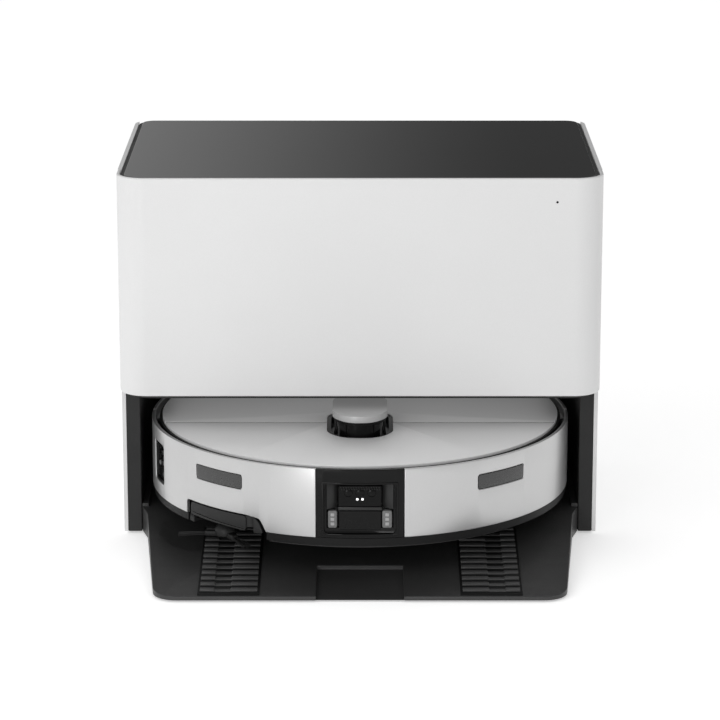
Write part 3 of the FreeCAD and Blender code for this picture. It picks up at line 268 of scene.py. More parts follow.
def makeFinish(name, spec):
    material = bpy.data.materials.new(name)
    material.use_nodes = True
    tree = material.node_tree
    shader = tree.nodes["Principled BSDF"]
    shader.inputs["Metallic"].default_value = spec.get("metal", 0.0)
    shader.inputs["Coat Weight"].default_value = spec.get("coat", 0.0)
    shader.inputs["Coat Roughness"].default_value = 0.08
    shader.inputs["Specular IOR Level"].default_value = spec.get("shine", 0.5)
    shader.inputs["Transmission Weight"].default_value = spec.get("glass", 0.0)
    shader.inputs["Sheen Weight"].default_value = spec.get("sheen", 0.0)
    # emission: only the white dots use it, as a painted highlight
    if "glow" in spec:
        shader.inputs["Emission Color"].default_value = (1, 1, 1, 1)
        shader.inputs["Emission Strength"].default_value = spec["glow"]
    place = addNode(tree, "ShaderNodeTexCoord").outputs["Object"]
    used = {}
    for part in ("drift", "wipe", spec["relief"][0]):
        used[part] = addNode(tree, "ShaderNodeGroup", node_tree=groups[part])
        wire(tree, place, used[part].inputs["Vector"])
    low, high = spec["tones"]
    tint = spec.get("tint", (1.0, 1.0, 1.0))
    used["drift"].inputs["Tone A"].default_value = (*[low * part for part in tint], 1)
    used["drift"].inputs["Tone B"].default_value = (*[high * part for part in tint], 1)
    used["wipe"].inputs["Smooth"].default_value = spec["gloss"][0]
    used["wipe"].inputs["Dull"].default_value = spec["gloss"][1]
    wire(tree, used["drift"].outputs["Color"], shader.inputs["Base Color"])
    wire(tree, used["wipe"].outputs["Roughness"], shader.inputs["Roughness"])
    kind, first, second, depth = spec["relief"]
    relief = used[kind]
    relief.inputs[1].default_value = first
    relief.inputs[2].default_value = second
    bump = addNode(tree, "ShaderNodeBump")
    bump.inputs["Strength"].default_value = depth
    bump.inputs["Distance"].default_value = 0.0003
    wire(tree, relief.outputs["Height"], bump.inputs["Height"])
    wire(tree, bump.outputs["Normal"], shader.inputs["Normal"])
    return material


paint = {name: makeFinish(name, spec) for name, spec in finishes.items()}
print("finishes ready:", len(paint))


# helpers for shaping

def finishPiece(obj, body, finish, replaced=(), soft=32, edge=0.0, rings=3):
    obj.data.materials.clear()
    obj.data.materials.append(paint[finish])
    obj.data.shade_smooth()
    obj.data.set_sharp_from_angle(angle=math.radians(soft))
    if edge:
        bevel = obj.modifiers.new("edge", "BEVEL")
        bevel.width = edge * mm
        bevel.segments = rings
        bevel.limit_method = "ANGLE"
        bevel.angle_limit = math.radians(soft)
        bevel.use_clamp_overlap = True
        bevel.harden_normals = True
    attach(obj, body)
    if replaced:
        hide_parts(*replaced)
    return obj


def meshPiece(bm, name):
    bmesh.ops.recalc_face_normals(bm, faces=bm.faces[:])
    mesh = bpy.data.meshes.new(name)
    bm.to_mesh(mesh)
    bm.free()
    obj = bpy.data.objects.new(name, mesh)
    bpy.context.collection.objects.link(obj)
    return obj


# studio: pale floor, even sky, a large key from the upper left, a weaker fill, and a soft panel
# over the docked robot

studio = {"floor": 14.0, "glow": 0.42, "sky": 0.74, "skyRight": 0.5, "cardLeft": 0.48, "cardRight": 0.07}
lights = {  # place, width, depth (None is as wide) and power
    "key": ((-2.4, -1.9, 2.3), 2.2, None, 14.0), "low": ((-0.7, -2.1, 0.42), 0.7, None, 8.0),
    "under": ((0.0, 0.03, 0.1275), 0.34, 0.22, 0.055)}


def makeStudio():
    bm = bmesh.new()
    bmesh.ops.create_grid(bm, x_segments=1, y_segments=1, size=studio["floor"])
    floor = meshPiece(bm, "studioFloor")
    pale = bpy.data.materials.new("studioPale")
    pale.use_nodes = True
    shader = pale.node_tree.nodes["Principled BSDF"]
    shader.inputs["Base Color"].default_value = (0.95, 0.95, 0.95, 1)
    shader.inputs["Roughness"].default_value = 0.9
    shader.inputs["Specular IOR Level"].default_value = 0.0
    shader.inputs["Emission Color"].default_value = (1, 1, 1, 1)
    shader.inputs["Emission Strength"].default_value = studio["glow"]
    floor.data.materials.append(pale)

    world = bpy.data.worlds.new("studioSky")
    bpy.context.scene.world = world
    world.use_nodes = True
    tree = world.node_tree
    sky = tree.nodes["Background"]
    direction = addNode(tree, "ShaderNodeTexCoord").outputs["Generated"]
    parts = addNode(tree, "ShaderNodeSeparateXYZ")
    wire(tree, direction, parts.inputs["Vector"])
    side = addNode(tree, "ShaderNodeMapRange")  # darker card behind and to the right
    side.interpolation_type = "SMOOTHSTEP"
    side.inputs["From Min"].default_value = -0.16
    side.inputs["From Max"].default_value = 0.06
    side.inputs["To Min"].default_value = studio["cardLeft"]
    side.inputs["To Max"].default_value = studio["cardRight"]
    wire(tree, parts.outputs["X"], side.inputs["Value"])
    back = addNode(tree, "ShaderNodeMapRange")  # only low behind the object
    back.interpolation_type = "SMOOTHSTEP"
    back.inputs["From Min"].default_value = 0.75
    back.inputs["From Max"].default_value = 0.93
    wire(tree, parts.outputs["Y"], back.inputs["Value"])
    mix = addNode(tree, "ShaderNodeMix", data_type="FLOAT")
    across = addNode(tree, "ShaderNodeMapRange")
    across.inputs["From Min"].default_value = -0.9
    across.inputs["From Max"].default_value = 0.9
    across.inputs["To Min"].default_value = studio["sky"]
    across.inputs["To Max"].default_value = studio["skyRight"]
    wire(tree, parts.outputs["X"], across.inputs["Value"])
    wire(tree, across.outputs["Result"], mix.inputs[2])
    wire(tree, back.outputs["Result"], mix.inputs["Factor"])
    wire(tree, side.outputs["Result"], mix.inputs[3])
    wire(tree, mix.outputs[0], sky.inputs["Strength"])
    sky.inputs["Color"].default_value = (1, 1, 1, 1)

    for name, (place, width, depth, power) in lights.items():
        light = bpy.data.objects.new(name, bpy.data.lights.new(name, "AREA"))
        light.data.size = width
        light.data.energy = power
        light.location = place
        aim = Vector((0, 0, 0.1)) - Vector(place)
        if depth:  # the panel under the housing faces straight down
            light.data.shape = "RECTANGLE"
            light.data.size_y = depth
            aim = Vector((0, 0, -1))
        light.rotation_euler = aim.to_track_quat("-Z", "Y").to_euler()
        bpy.context.collection.objects.link(light)
    bpy.context.scene.view_settings.view_transform = "Standard"
    print("studio ready")


makeStudio()

# helpers for shaping: outlines in millimetres, meshes in metres

def roundedPlate(corners, low, high):  # corners are (x, y, radius); a plate between two heights
    bm = bmesh.new()
    verts = [bm.verts.new((x * mm, y * mm, low * mm)) for x, y, _ in corners]
    bm.faces.new(verts)
    for vert, (_, _, radius) in zip(verts, corners):
        if radius:
            bmesh.ops.bevel(bm, geom=[vert], offset=radius * mm, affect="VERTICES",
                            segments=max(4, int(radius)), profile=0.5, material=-1)
    raised = bmesh.ops.extrude_face_region(bm, geom=bm.faces[:])
    tops = [item for item in raised["geom"] if isinstance(item, bmesh.types.BMVert)]
    bmesh.ops.translate(bm, verts=tops, vec=(0, 0, (high - low) * mm))
    bmesh.ops.recalc_face_normals(bm, faces=bm.faces[:])
    return bm


def box(x, y, z):
    bm = bmesh.new()
    bmesh.ops.create_cube(bm, size=1.0)
    for vert in bm.verts:
        vert.co = Vector([(pair[0] + (part + 0.5) * (pair[1] - pair[0])) * mm
                          for part, pair in zip(vert.co, (x, y, z))])
    return bm


def lathe(profile, centre=(0, 0, 0), steps=96, axis="Z"):  # profile is (radius, height)
    bm = bmesh.new()
    verts = [bm.verts.new((r * mm, 0, z * mm)) for r, z in profile]
    edges = [bm.edges.new(pair) for pair in zip(verts, verts[1:])]
    bmesh.ops.spin(bm, geom=verts + edges, cent=(0, 0, 0), axis=(0, 0, 1),
                   angle=math.tau, steps=steps, use_merge=True)
    bmesh.ops.remove_doubles(bm, verts=bm.verts[:], dist=1e-7)
    if axis == "X":
        bmesh.ops.rotate(bm, verts=bm.verts[:], cent=(0, 0, 0), matrix=Matrix.Rotation(math.pi / 2, 3, "Y"))
    bmesh.ops.translate(bm, verts=bm.verts[:], vec=Vector(centre) * mm)
    bmesh.ops.recalc_face_normals(bm, faces=bm.faces[:])
    return bm


def trimmed(bm, cutters, operation="DIFFERENCE"):  # cuts or joins shapes, then drops the cutters
    body = meshPiece(bm, "shape")
    for cutter in cutters:
        tool = meshPiece(cutter, "tool")
        change = body.modifiers.new("cut", "BOOLEAN")
        change.operation = operation
        change.solver = "EXACT"
        change.object = tool
        graph = bpy.context.evaluated_depsgraph_get()
        done = bpy.data.meshes.new_from_object(body.evaluated_get(graph))
        body.modifiers.clear()
        body.data = done
        bpy.data.objects.remove(tool)
    out = bmesh.new()
    out.from_mesh(body.data)
    bpy.data.objects.remove(body)
    bmesh.ops.remove_doubles(out, verts=out.verts[:], dist=2e-6)
    return out


def softEdges(bm, width, angle=35, rings=3):
    edges = [edge for edge in bm.edges if len(edge.link_faces) == 2
             and edge.calc_face_angle(0) > math.radians(angle)]
    bmesh.ops.bevel(bm, geom=edges, offset=width * mm, affect="EDGES", segments=rings, profile=0.5,
                    material=-1, clamp_overlap=True)
    return bm


def wrapRound(bm, radius, step=1.6):  # bends a flat piece, x along the arc, y outward, onto the robot's side
    low = min(vert.co.x for vert in bm.verts)
    high = max(vert.co.x for vert in bm.verts)
    stride = radius * mm * math.radians(step)
    place = math.ceil(low / stride) * stride
    while place < high:
        bmesh.ops.bisect_plane(bm, geom=bm.verts[:] + bm.edges[:] + bm.faces[:], dist=1e-7,
                               plane_co=(place, 0, 0), plane_no=(1, 0, 0))
        place += stride
    for vert in bm.verts:
        turn = vert.co.x / (radius * mm)
        reach = radius * mm - vert.co.y
        vert.co = Vector((reach * math.sin(turn), -reach * math.cos(turn), vert.co.z))
    return bm


# corners (arc mm, z, radius), outer and inner depth below the band's face
def bandPlate(corners, outer, inner):
    bm = roundedPlate(corners, -inner, -outer)
    for vert in bm.verts:
        vert.co = Vector((vert.co.x, -vert.co.z, vert.co.y))
    bmesh.ops.recalc_face_normals(bm, faces=bm.faces[:])
    return bm


def oblong(left, right, low, high, radius):
    return [(left, low, radius), (right, low, radius), (right, high, radius), (left, high, radius)]


def gather(*parts):  # several shapes as one mesh
    whole = bmesh.new()
    for bm in parts:
        scrap = bpy.data.meshes.new("scrap")
        bm.to_mesh(scrap)
        bm.free()
        whole.from_mesh(scrap)
        bpy.data.meshes.remove(scrap)
    return whole


def arc(degrees):  # arc length along the band's face, from the front's middle
    return math.radians(degrees) * band["radius"]


# station: white front cover, side panels, rear panel and the glass lid

cover = {"half": 202.5, "front": -63, "back": -25.3, "low": 131.9, "high": 318, "wall": 3, "corner": 24}


def makeFrontCover():
    half, wall = cover["half"], cover["wall"]
    bm = roundedPlate([
        (-half, cover["back"], 0), (-half, cover["front"], cover["corner"]),
        (half, cover["front"], cover["corner"]), (half, cover["back"], 0),
        (half - wall, cover["back"], 0), (half - wall, cover["front"] + wall, cover["corner"] - wall),
        (wall - half, cover["front"] + wall, cover["corner"] - wall), (wall - half, cover["back"], 0),
    ], cover["low"], cover["high"])
    obj = meshPiece(bm, "frontCover")
    finishPiece(obj, "cover", "whiteShell", ["front_cover"], soft=30, edge=1.1, rings=4)


panel = {"outer": 202.5, "skin": 3.3, "front": -25, "back": 209, "low": 1.5, "high": 318,
         "corner": 20, "return": 182, "cutAbove": 304.7}


def makeSidePanels():
    outer, skin, back = panel["outer"], panel["skin"], panel["back"]
    for side, name in ((1, "right"), (-1, "left")):
        bm = roundedPlate([
            (side * outer, panel["front"], 0), (side * outer, back, panel["corner"]),
            (side * panel["return"], back, 0), (side * panel["return"], back - skin, 0),
            (side * (outer - skin), back - skin, panel["corner"] - skin),
            (side * (outer - skin), panel["front"], 0)], panel["low"], panel["high"])
        across = sorted((side * (panel["return"] - 5), side * (outer - skin - 0.02)))
        top = box(across, (back - panel["corner"], back + 5), (panel["cutAbove"], panel["high"] + 5))
        obj = meshPiece(trimmed(bm, [top]), name + "SidePanel")
        finishPiece(obj, "station", "whiteShell", [name + "_side_panel"],
                    soft=30, edge=0.7)


glass = {"half": 196.2, "front": -58, "back": 209, "low": 314.9, "high": 317.5, "frontCorner": 18,
         "backCorner": 11}


def makeLidGlass():
    half = glass["half"]
    bm = roundedPlate([(-half, glass["front"], glass["frontCorner"]),
                       (half, glass["front"], glass["frontCorner"]),
                       (half, glass["back"], glass["backCorner"]),
                       (-half, glass["back"], glass["backCorner"])],
                      glass["low"], glass["high"])
    finishPiece(meshPiece(bm, "lidGlass"), "lid", "topGlass", ["lid_glass"], edge=0.7)


rear = {"half": 181.7, "front": 205.7, "back": 209, "low": 1.5, "high": 304.7, "slots": 11, "slotPitch": 9,
        "slotHalf": 42, "slotX": 90, "slotLow": 196, "socket": (120, 150, 40, 64)}


def makeRearPanel():
    bm = box((-rear["half"], rear["half"]), (rear["front"], rear["back"]), (rear["low"], rear["high"]))
    left, right, low, high = rear["socket"]
    cutters = [standing(oblong(left, right, low, high, 3), rear["front"] - 2, rear["back"] + 2)]
    slots = []
    for index in range(rear["slots"]):  # exhaust slots, behind the station's fan
        z = rear["slotLow"] + index * rear["slotPitch"]
        slots.append(standing(oblong(rear["slotX"] - rear["slotHalf"], rear["slotX"] + rear["slotHalf"], z,
                                     z + 3, 1.4),
                              rear["back"] - 1.6, rear["back"] + 2))
    groove = standing(oblong(-168, 168, 16, 290, 10), rear["back"] - 0.5, rear["back"] + 2)
    face = standing(oblong(-167, 167, 17, 289, 9), rear["back"] - 1.2, rear["back"] + 3)
    cutters.append(gather(*slots))
    cutters.append(trimmed(groove, [face]))
    obj = meshPiece(trimmed(bm, cutters), "rearPanel")
    finishPiece(obj, "station", "whiteShell", ["rear_panel"], edge=0.35)


def standing(corners, front, back):  # a plate in the X and Z plane, between two depths
    bm = roundedPlate(corners, -back, -front)
    for vert in bm.verts:
        vert.co = Vector((vert.co.x, -vert.co.z, vert.co.y))
    bmesh.ops.recalc_face_normals(bm, faces=bm.faces[:])
    return bm


bay = {"inner": 187, "outer": 199.2, "front": -25, "back": 185.7, "low": 1.5, "high": 128.9}


def makeBayWalls():
    for side, name in ((1, "right"), (-1, "left")):
        across = sorted((side * bay["inner"], side * bay["outer"]))
        bm = box(across, (bay["front"], bay["back"]), (bay["low"], bay["high"]))
        room = box(sorted((side * (bay["inner"] + 3), side * (bay["outer"] + 5))),
                   (bay["front"] + 9, bay["back"] - 9), (bay["low"] + 9, bay["high"] - 9))
        obj = meshPiece(trimmed(bm, [room]), name + "BayWall")
        finishPiece(obj, "station", "bayPlastic", ["bay_%s_wall" % name], edge=1.0)


# robot: silver bumper, its windows, and the camera module at the front

band = {"radius": 178.5, "wall": 3, "low": 43.9, "high": 101.8, "end": 91.7, "module": 36.3,
        "notchLeft": -53.7}
eye = {"angle": 41, "half": 25.9, "low": 76.6, "high": 89.4, "round": 2.2}
port = {"angle": -72, "half": 14.0, "low": 55.5, "high": 90, "round": 3}


def makeBumper():
    low, high, reach = band["low"], band["high"], arc(band["end"])
    gap = band["module"]
    right = bandPlate(oblong(gap, reach, low, high, 0), 0, band["wall"])
    left = bandPlate([(-reach, low, 0), (arc(band["notchLeft"]), low, 0), (arc(band["notchLeft"]), 56, 3),
                      (-94, 56, 8), (-84.5, 54.0, 7), (-79.4, low, 0), (-gap, low, 0), (-gap, high, 0),
                      (-reach, high, 0)], 0, band["wall"])
    halves = []
    for half, sign in ((right, 1), (left, -1)):
        centre = arc(sign * eye["angle"])
        cutters = [bandPlate(oblong(centre - eye["half"], centre + eye["half"], eye["low"], eye["high"],
                                    eye["round"]), -2, 1.6)]
        if sign < 0:
            centre = arc(port["angle"])
            cutters.append(bandPlate(oblong(centre - port["half"], centre + port["half"], port["low"],
                                            port["high"], port["round"]), -2, 6))
        halves.append(wrapRound(softEdges(trimmed(half, cutters), 0.7), band["radius"]))
    obj = meshPiece(gather(*halves), "bumperBand")
    finishPiece(obj, "bumper", "silverBand", ["bumper"], soft=30)


def makeEyes():
    panes = []
    for sign in (1, -1):
        centre = arc(sign * eye["angle"])
        pane = bandPlate(oblong(centre - eye["half"] + 0.5, centre + eye["half"] - 0.5, eye["low"] + 0.5,
                                eye["high"] - 0.5, eye["round"] - 0.4), 0.25, 1.7)
        panes.append(wrapRound(softEdges(pane, 0.3), band["radius"]))
    finishPiece(meshPiece(gather(*panes), "wallEyes"), "bumper", "smokedWindow", ["ir_windows"])


def makePort():  # the dark side sensor, with its slanted inner shutters
    centre, half = arc(port["angle"]), port["half"]
    frameIn = bandPlate(oblong(centre - half + 0.4, centre + half - 0.4, port["low"] + 0.4,
                               port["high"] - 0.4, 2.6),
                        0.6, 3.4)
    hole = bandPlate(oblong(centre - half + 2.4, centre + half - 2.4, port["low"] + 2.6, port["high"] - 2.6,
                            1.6),
                     -1, 2.6)
    rim = trimmed(frameIn, [hole])
    shutters = [bandPlate([(centre - 9, z, 0), (centre + 9, z + 3, 0), (centre + 9, z + 7, 0),
                           (centre - 9, z + 4, 0)],
                          1.6, 2.7) for z in (58.5, 68.5, 77.5)]
    parts = [wrapRound(softEdges(part, 0.25, rings=2), band["radius"]) for part in (rim, *shutters)]
    finishPiece(meshPiece(gather(*parts), "sidePort"), "bumper", "glossBlack")
    lens = bandPlate(oblong(centre - 3, centre + 1, 70, 74, 1.9), 1.0, 2.6)
    finishPiece(meshPiece(wrapRound(softEdges(lens, 0.3), band["radius"]), "sidePortLens"), "bumper",
                "frostedLens")


module = {"half": 36.0, "bevel": 0.6, "beads": 16, "beadPitch": 2.05, "beadRows": (86.0, 84.4),
          "domes": (-9.5, 0, 9.5), "guides": (55.5, 59.4, 63.2)}


def makeModule():
    low, high = band["low"], band["high"]
    bezel = bandPlate(oblong(-module["half"], module["half"], low, high, 0), -0.05, 3)
    mouth = bandPlate(oblong(-29.5, 29.5, 47.4, 89.6, 3.5), -2, 8)
    bezel = trimmed(bezel, [mouth])
    shell = wrapRound(softEdges(bezel, module["bevel"]), band["radius"])
    # raised lip round the mouth
    lip = trimmed(bandPlate(oblong(-30.9, 30.9, 46, 91, 4.5), -0.45, 2),
                  [bandPlate(oblong(-29.3, 29.3, 47.6, 89.4, 3.4), -3, 5)])
    lip = wrapRound(softEdges(lip, 0.25, rings=2), band["radius"])
    tray = trimmed(box((-31, 31), (-177, -163.6), (46, 91)),
                   [box((-27, 27), (-190, -169.5), (52, 90)),
                    box((-29.3, 29.3), (-190, -174.2), (47.6, 89.4))])
    # middle shelf with its slanted cheeks, and the lower glossy panel
    shelf = box((-17.6, 17.6), (-174.6, -168), (66.6, 69.4))
    panelLow = softEdges(standing(oblong(-17, 17, 50.6, 66.4, 1.0), -175.4, -168), 0.4)
    cheeks = []
    for side in (1, -1):
        cheek = box(sorted((side * 18.2, side * 27)), (-176.4, -168), (68, 89.6))
        for vert in cheek.verts:
            if abs(vert.co.x) < 0.02 and vert.co.y < -0.172:
                vert.co.y += 0.0062
        cheeks.append(softEdges(cheek, 0.4, rings=2))
    finishPiece(meshPiece(gather(*cheeks, softEdges(shelf, 0.35, rings=2)), "moduleCheeks"), "bumper",
                "cheekBlack")
    body = gather(shell, lip, softEdges(tray, 0.4, rings=2), panelLow)
    finishPiece(meshPiece(body, "cameraHousing"), "bumper", "glossBlack", ["camera_housing"])


def makeModuleGlass():
    pane = softEdges(standing(oblong(-17.4, 17.4, 69.8, 87.2, 1.2), -174.0, -169.6), 0.35)
    finishPiece(meshPiece(pane, "cameraWindow"), "bumper", "turretGlass", ["camera_window"])
    beads = []
    for row, z in enumerate(module["beadRows"]):  # two rows of moulded lens beads
        for index in range(module["beads"]):
            bm = bmesh.new()
            bmesh.ops.create_uvsphere(bm, u_segments=10, v_segments=6, radius=0.75 * mm)
            x = (index - (module["beads"] - 1) / 2) * module["beadPitch"] + row * 0.6
            bmesh.ops.translate(bm, verts=bm.verts[:], vec=(x * mm, -174.0 * mm, z * mm))
            beads.append(bm)
    finishPiece(meshPiece(gather(*beads), "windowBeads"), "bumper", "bayPlastic")
    domes = []
    for x in module["domes"]:  # three faint sensor domes behind the glass
        bm = bmesh.new()
        bmesh.ops.create_uvsphere(bm, u_segments=28, v_segments=14, radius=3.6 * mm)
        bmesh.ops.scale(bm, verts=bm.verts[:], vec=(1, 0.35, 1))
        bmesh.ops.translate(bm, verts=bm.verts[:], vec=(x * mm, -173.9 * mm, 81.4 * mm))
        domes.append(bm)
    finishPiece(meshPiece(gather(*domes), "sensorDomes"), "bumper", "turretGlass")
    # two white dots that glow as a painted highlight
    dots = [softEdges(box((x - 0.9, x + 0.9), (-174.5, -173.9), (75.1, 76.9)), 0.25,
                      rings=2) for x in (-2.2, 2.0)]
    finishPiece(meshPiece(gather(*dots), "guideLights"), "bumper", "mirrorDot")
    lamps, cores = [], []
    for left, right in ((-26, -18.6), (18.0, 26)):
        lamp = standing(oblong(left, right, 52, 66.6, 1.4), -175.2, -169.6)
        lamps.append(softEdges(lamp, 0.7))
        middle = (left + right) / 2
        for z in module["guides"]:  # stepped light guides inside the lens
            guide = standing(oblong(middle - 1.5, middle + 1.5, z - 1.3, z + 1.3, 0.5), -175.5, -174.9)
            cores.append(softEdges(guide, 0.2, rings=2))
    finishPiece(meshPiece(gather(*lamps), "headLamps"), "bumper", "frostedLens", ["led_lenses"])
    finishPiece(meshPiece(gather(*cores), "lampGuides"), "bumper", "lampCore")


# robot: top plates and the laser turret

plate = {"radius": 169.4, "low": 99.6, "high": 102.6, "seam": -38.0, "gap": 1.5, "half": 27.9, "front": -84.2,
         "back": -2.8, "corner": 20}


def makePlates():
    for part, name, body in ((-1, "topFrontPlate", "robot"), (1, "topRearLid", "rear_lid")):
        bm = lathe([(0, plate["low"]), (plate["radius"], plate["low"]), (plate["radius"], plate["high"]),
                    (0, plate["high"])], steps=220)
        edge = plate["seam"] + part * plate["gap"] / 2
        away = (edge, 200) if part < 0 else (-200, edge)
        well = bowed(roundedPlate(oblong(-plate["half"], plate["half"], plate["front"], plate["back"],
                                         plate["corner"]), 90, 110))
        cut = trimmed(bm, [box((-200, 200), away, (90, 110)), well])
        node = "top_front_plate" if part < 0 else "top_rear_lid"
        finishPiece(meshPiece(softEdges(cut, 0.25), name), body, "silverPlate", [node],
                    soft=30)
    strips = []
    for side in (1, -1):  # a dark strip almost flush in the seam between the plates: painted shade standing in for the shadow in the gap
        across = sorted((side * (plate["half"] + 0.2), side * 164.6))
        strips.append(softEdges(box(across, (plate["seam"] - 0.72, plate["seam"] + 0.65), (99.7, 102.5)),
                                0.1, rings=1))
    finishPiece(meshPiece(gather(*strips), "seamShadeStrip"), "robot", "deckBlackAndShade")


turret = {"half": 23, "front": -84, "back": -17, "corner": 19, "capLow": 115.4, "capHigh": 120.8,
          "windowLow": 96.6, "bow": 6.0}


def squarish(inset, low, high):
    half, corner = turret["half"] - inset, turret["corner"] - inset * 0.8
    return bowed(roundedPlate(oblong(-half, half, turret["front"] + inset, turret["back"] - inset, corner),
                              low, high))


def bowed(bm):  # the turret's front edges bulge a little forward
    half = max(vert.co.x for vert in bm.verts)
    for index in range(-9, 10):
        bmesh.ops.bisect_plane(bm, geom=bm.verts[:] + bm.edges[:] + bm.faces[:], dist=1e-7,
                               plane_co=(index * 2.9 * mm, 0, 0), plane_no=(1, 0, 0))
    for vert in bm.verts:
        share = min(1.0, max(0.0, (-50 * mm - vert.co.y) / (28 * mm)))
        vert.co.y -= turret["bow"] * mm * share * (0.5 - (vert.co.x / half) ** 2)
    return bm


def makeTurret():
    cap = softEdges(squarish(0, turret["capLow"], turret["capHigh"]), 1.1, rings=4)
    finishPiece(meshPiece(cap, "turretCap"), "robot", "capSilver", ["lidar_cap"], soft=40)
    # lip and window under the cap get the darkest finishes: painted shade under the cap, on top of their own
    # dark colour
    lip = softEdges(trimmed(squarish(1.2, 112.6, 115.35), [squarish(3.4, 112, 118)]), 0.4)
    finishPiece(meshPiece(lip, "turretLip"), "robot", "deckBlackAndShade")
    glassRing = trimmed(squarish(3.6, turret["windowLow"], 115.35), [squarish(5.2, 90, 111)])
    finishPiece(meshPiece(softEdges(glassRing, 0.3), "turretWindow"), "robot", "turretGlass",
                ["lidar_window"])
    posts = []
    for x, y in ((-17.5, -79.5), (17.5, -79.5), (-20.6, -50), (20.6, -50), (0, -18.6)):
        posts.append(lathe([(0, 96.8), (1.5, 96.8), (0.9, 99.5), (0.9, 113), (0, 113)], (x, y, 0), steps=20))
    finishPiece(meshPiece(gather(*posts), "turretPosts"), "robot", "cheekBlack")
    outer = bowed(roundedPlate(oblong(-27.7, 27.7, -84, -3, 19.8), 94.4, 102.2))
    inner = bowed(roundedPlate(oblong(-26.2, 26.2, -82.5, -4.5, 18.3), 96.6, 110))
    for vert in inner.verts:  # the well's walls lean in towards its floor
        if vert.co.z < 0.1:
            vert.co.x *= 0.88
            vert.co.y = (vert.co.y + 0.0435) * 0.92 - 0.0435
    softEdges(inner, 1.6, rings=4)
    bore = lathe([(0, 90), (2.2, 90), (2.2, 99), (0, 99)], (0, -50.5, 0), steps=32)
    well = softEdges(trimmed(outer, [inner, bore]), 0.3, angle=50)
    finishPiece(meshPiece(well, "turretWell"), "robot", "glossBlack", ["lidar_base"])
    screws = [lathe([(0, 96.6), (1.5, 96.6), (1.5, 97.3), (1.1, 97.6), (0, 97.6)], (x, -58.0, 0), steps=20)
              for x in (-21.2, 21.2)]
    finishPiece(meshPiece(gather(*screws), "turretScrews"), "robot", "steel")


# robot: side brush on its swinging arm

def makeSideArm():
    left, right = arc(-52.2), arc(-31.7)
    face = bandPlate([(left, 43.0, 2), (left, 54.6, 3), (right, 54.6, 2.5), (right, 42.6, 2),
                      (-104, 43.6, 4), (left + 6, 46.2, 2)], 0.6, 6)
    step = bandPlate([(left + 1, 46.4, 1), (right - 0.6, 43.4, 1), (right - 0.6, 42.3, 0.5),
                      (left + 1, 44.2, 1)], 0.1, 4)
    root = bandPlate([(arc(-29.4), 41.2, 1.2), (arc(-26.6), 42.0, 1.5), (arc(-27.2), 47, 3), (-87.6, 52.6, 5),
                      (arc(-29.4), 54.2, 1.2)], 1.1, 5)
    root = wrapRound(softEdges(root, 0.5), band["radius"])
    finishPiece(meshPiece(root, "sideArmRoot"), "robot", "bayPlastic")
    skin = [wrapRound(softEdges(part, 0.5), band["radius"]) for part in (face, step)]
    back = cadShape("side_brush_arm")
    finishPiece(meshPiece(gather(*skin, back), "sideArm"), "side_arm", "bayPlastic", ["side_brush_arm"])


def cadShape(node):
    bm = bmesh.new()
    bm.from_mesh(nodes[node].data)
    bmesh.ops.remove_doubles(bm, verts=bm.verts[:], dist=1e-6)
    return bm


brush = {"x": -111.7, "y": -111.7, "low": 25.5, "reach": 40, "angles": (60, 180, 300), "strands": 26,
         "root": 15, "fan": 15, "width": 5.2}


def makeSideBrush():
    low = brush["low"]
    hub = lathe([(0, low), (7.2, low), (8.8, low + 1.4), (9, low + 5), (8.0, low + 8), (5.4, low + 10.4),
                 (3, low + 10.5), (3, 52), (0, 52)], (brush["x"], brush["y"], 0), steps=48)
    arms, strands = [hub], []
    for angle in brush["angles"]:
        holder = softEdges(box((2, 17), (-3.4, 3.4), (low + 0.2, low + 4.6)), 0.8)
        tip = [vert for vert in holder.verts if vert.co.x > 0.010]
        for vert in tip:
            vert.co.y *= 0.8
        turnTo = Matrix.Rotation(math.radians(angle), 3, "Z")
        bmesh.ops.rotate(holder, verts=holder.verts[:], cent=(0, 0, 0), matrix=turnTo)
        bmesh.ops.translate(holder, verts=holder.verts[:], vec=(brush["x"] * mm, brush["y"] * mm, 0))
        arms.append(holder)
        for index in range(brush["strands"]):
            spread = (index / (brush["strands"] - 1) - 0.5)
            strand = bmesh.new()
            bmesh.ops.create_cone(strand, cap_ends=True, segments=5, radius1=0.26 * mm, radius2=0.16 * mm,
                                  depth=1.0)
            bmesh.ops.subdivide_edges(strand, edges=[e for e in strand.edges
                                                     if abs(e.verts[0].co.z - e.verts[1].co.z) > 0.5], cuts=4)
            length = (brush["reach"] - brush["root"] - 0.2 - random.uniform(0, 1.6)) * mm
            rise = random.uniform(0.5, 2.6)
            for vert in strand.verts:
                along = vert.co.z + 0.5
                bend = math.radians(spread * brush["fan"]) * along
                out = brush["root"] * mm + along * length
                vert.co = Vector((out * math.cos(bend), vert.co.y + spread * brush["width"] * mm
                                  + out * math.sin(bend) * 0.35,
                                  vert.co.x + (low + rise + 0.4 - 0.9 * along * along) * mm))
            bmesh.ops.rotate(strand, verts=strand.verts[:], cent=(0, 0, 0), matrix=turnTo)
            bmesh.ops.translate(strand, verts=strand.verts[:], vec=(brush["x"] * mm, brush["y"] * mm, 0))
            strands.append(strand)
    finishPiece(meshPiece(gather(*arms), "sideBrushHub"), "side_brush", "bayPlastic", ["side_brush"],
                soft=40)
    finishPiece(meshPiece(gather(*strands), "sideBrushBristles"), "side_brush", "bristle")


# station: base tray, mats, feet, wash board, tanks and the mains inlet

